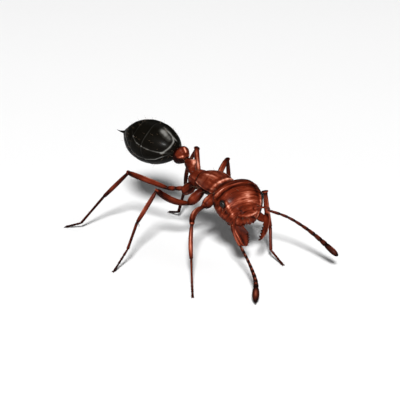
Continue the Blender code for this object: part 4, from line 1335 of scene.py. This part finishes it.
def grow_tree():
    """Scatter the roots, lean and bend the hairs, and keep the map's place of each root."""
    n, given = bristles, bristles.given.outputs
    points = n.node("GeometryNodeDistributePointsOnFaces", {}, {
        "Mesh": given["Geometry"], "Seed": given["Seed"],
        "Density": n.math("MULTIPLY", given["Density"], n.attribute("hair", "FLOAT"))})
    stray = n.node("FunctionNodeRandomValue", {"data_type": "FLOAT_VECTOR"}, {
        0: (-STRAY,) * 3, 1: (STRAY,) * 3, "Seed": given["Seed"]})
    lean = n.vector("SCALE", n.attribute("flow"), given["Lean"])
    way = n.vector("ADD", n.vector("ADD", points.outputs["Normal"], lean), stray.outputs[0])
    aim = n.node("FunctionNodeAlignRotationToVector", {"axis": "Z"}, {"Vector": way})
    cone = n.node("GeometryNodeMeshCone", {"fill_type": "NGON"}, {
        "Vertices": 4, "Side Segments": 3, "Radius Top": HAIR_TIP * MM,
        "Radius Bottom": given["Thickness"], "Depth": given["Length"]})
    place_on_hair = n.node("ShaderNodeSeparateXYZ", {}, {0: n.node("GeometryNodeInputPosition").outputs[0]})
    share = n.math("DIVIDE", place_on_hair.outputs[2], given["Length"])
    bend = n.math("MULTIPLY", n.math("MULTIPLY", share, share), given["Length"])
    offset = n.node("ShaderNodeCombineXYZ", {}, {0: n.math("MULTIPLY", bend, HAIR_BEND)})
    curved = n.node("GeometryNodeSetPosition", {}, {
        "Geometry": cone.outputs["Mesh"], "Offset": offset.outputs[0]})
    vary = n.node("FunctionNodeRandomValue", {"data_type": "FLOAT"}, {
        2: SHORTEST, 3: LONGEST, "Seed": given["Seed"]})
    hairs = n.node("GeometryNodeInstanceOnPoints", {}, {
        "Points": points.outputs["Points"], "Instance": curved.outputs[0], "Rotation": aim.outputs[0],
        "Scale": vary.outputs[1]})
    uv = n.vector("ADD", n.attribute("skin"), n.vector("SCALE", cone.outputs["UV Map"], ROOT_PATCH))
    kept = n.node("GeometryNodeStoreNamedAttribute", {"data_type": "FLOAT2", "domain": "CORNER"}, {
        "Geometry": n.real(hairs.outputs[0]), "Name": "OFBake", "Value": uv})
    n.finish(kept.outputs[0], HAIR)


grow_tree()
print("bristle tree has", len(bristles.tree.nodes), "nodes")

# %% Coats
# Skin, hairs for each square mm, and the length, thickness (mm) and lean of a hair
COATS = [(head, 22.0, 0.13, 0.0030, 0.6), (chest, 24.0, 0.14, 0.0030, 0.5),
         (waist_nodes, 34.0, 0.12, 0.0028, 0.5), (abdomen, 20.0, 0.12, 0.0028, 0.9)]
COATS += [(piece, 50.0, 0.055, 0.0020, 1.2) for piece in (*scapes, *feelers)]
COATS += [(piece, 30.0, 0.065, 0.0024, 1.1) for piece in legs]
COATS += [(piece, 14.0, 0.09, 0.0028, 0.9) for piece in mandibles]
coats = [
    bristles.run(skin, f"bristles_{skin.name}", density=density / MM**2, length=length * MM,
                 thickness=thickness * MM, lean=lean, seed=seed)
    for seed, (skin, density, length, thickness, lean) in enumerate(COATS, start=1)
]
for coat in coats:
    for key in ("hair", "tone", "local", "flow", "skin"):
        if key in coat.data.attributes:
            coat.data.attributes.remove(coat.data.attributes[key])
print("bristles:", sum(len(coat.data.polygons) for coat in coats), "faces")

# %% [markdown]
# ## Putting the pieces on their body
# Every piece rides on the one fixed body. The last cell hangs the pieces on it, grouped by the finish
# each takes from the record, and prints how many pieces each finish has.

# %% Bodies and finishes
FINISHES = {
    "red_cuticle": [head, chest, waist_nodes, *mandibles, *scapes, *legs],
    "dark_cuticle": [mouth_parts, *feelers],
    "black_cuticle": [abdomen, sting],
    "eye": eyes,
    "hair": coats,
}
for finish, pieces in FINISHES.items():
    for piece in pieces:
        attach(piece, "root")
    print(finish, "on", len(pieces), "pieces")
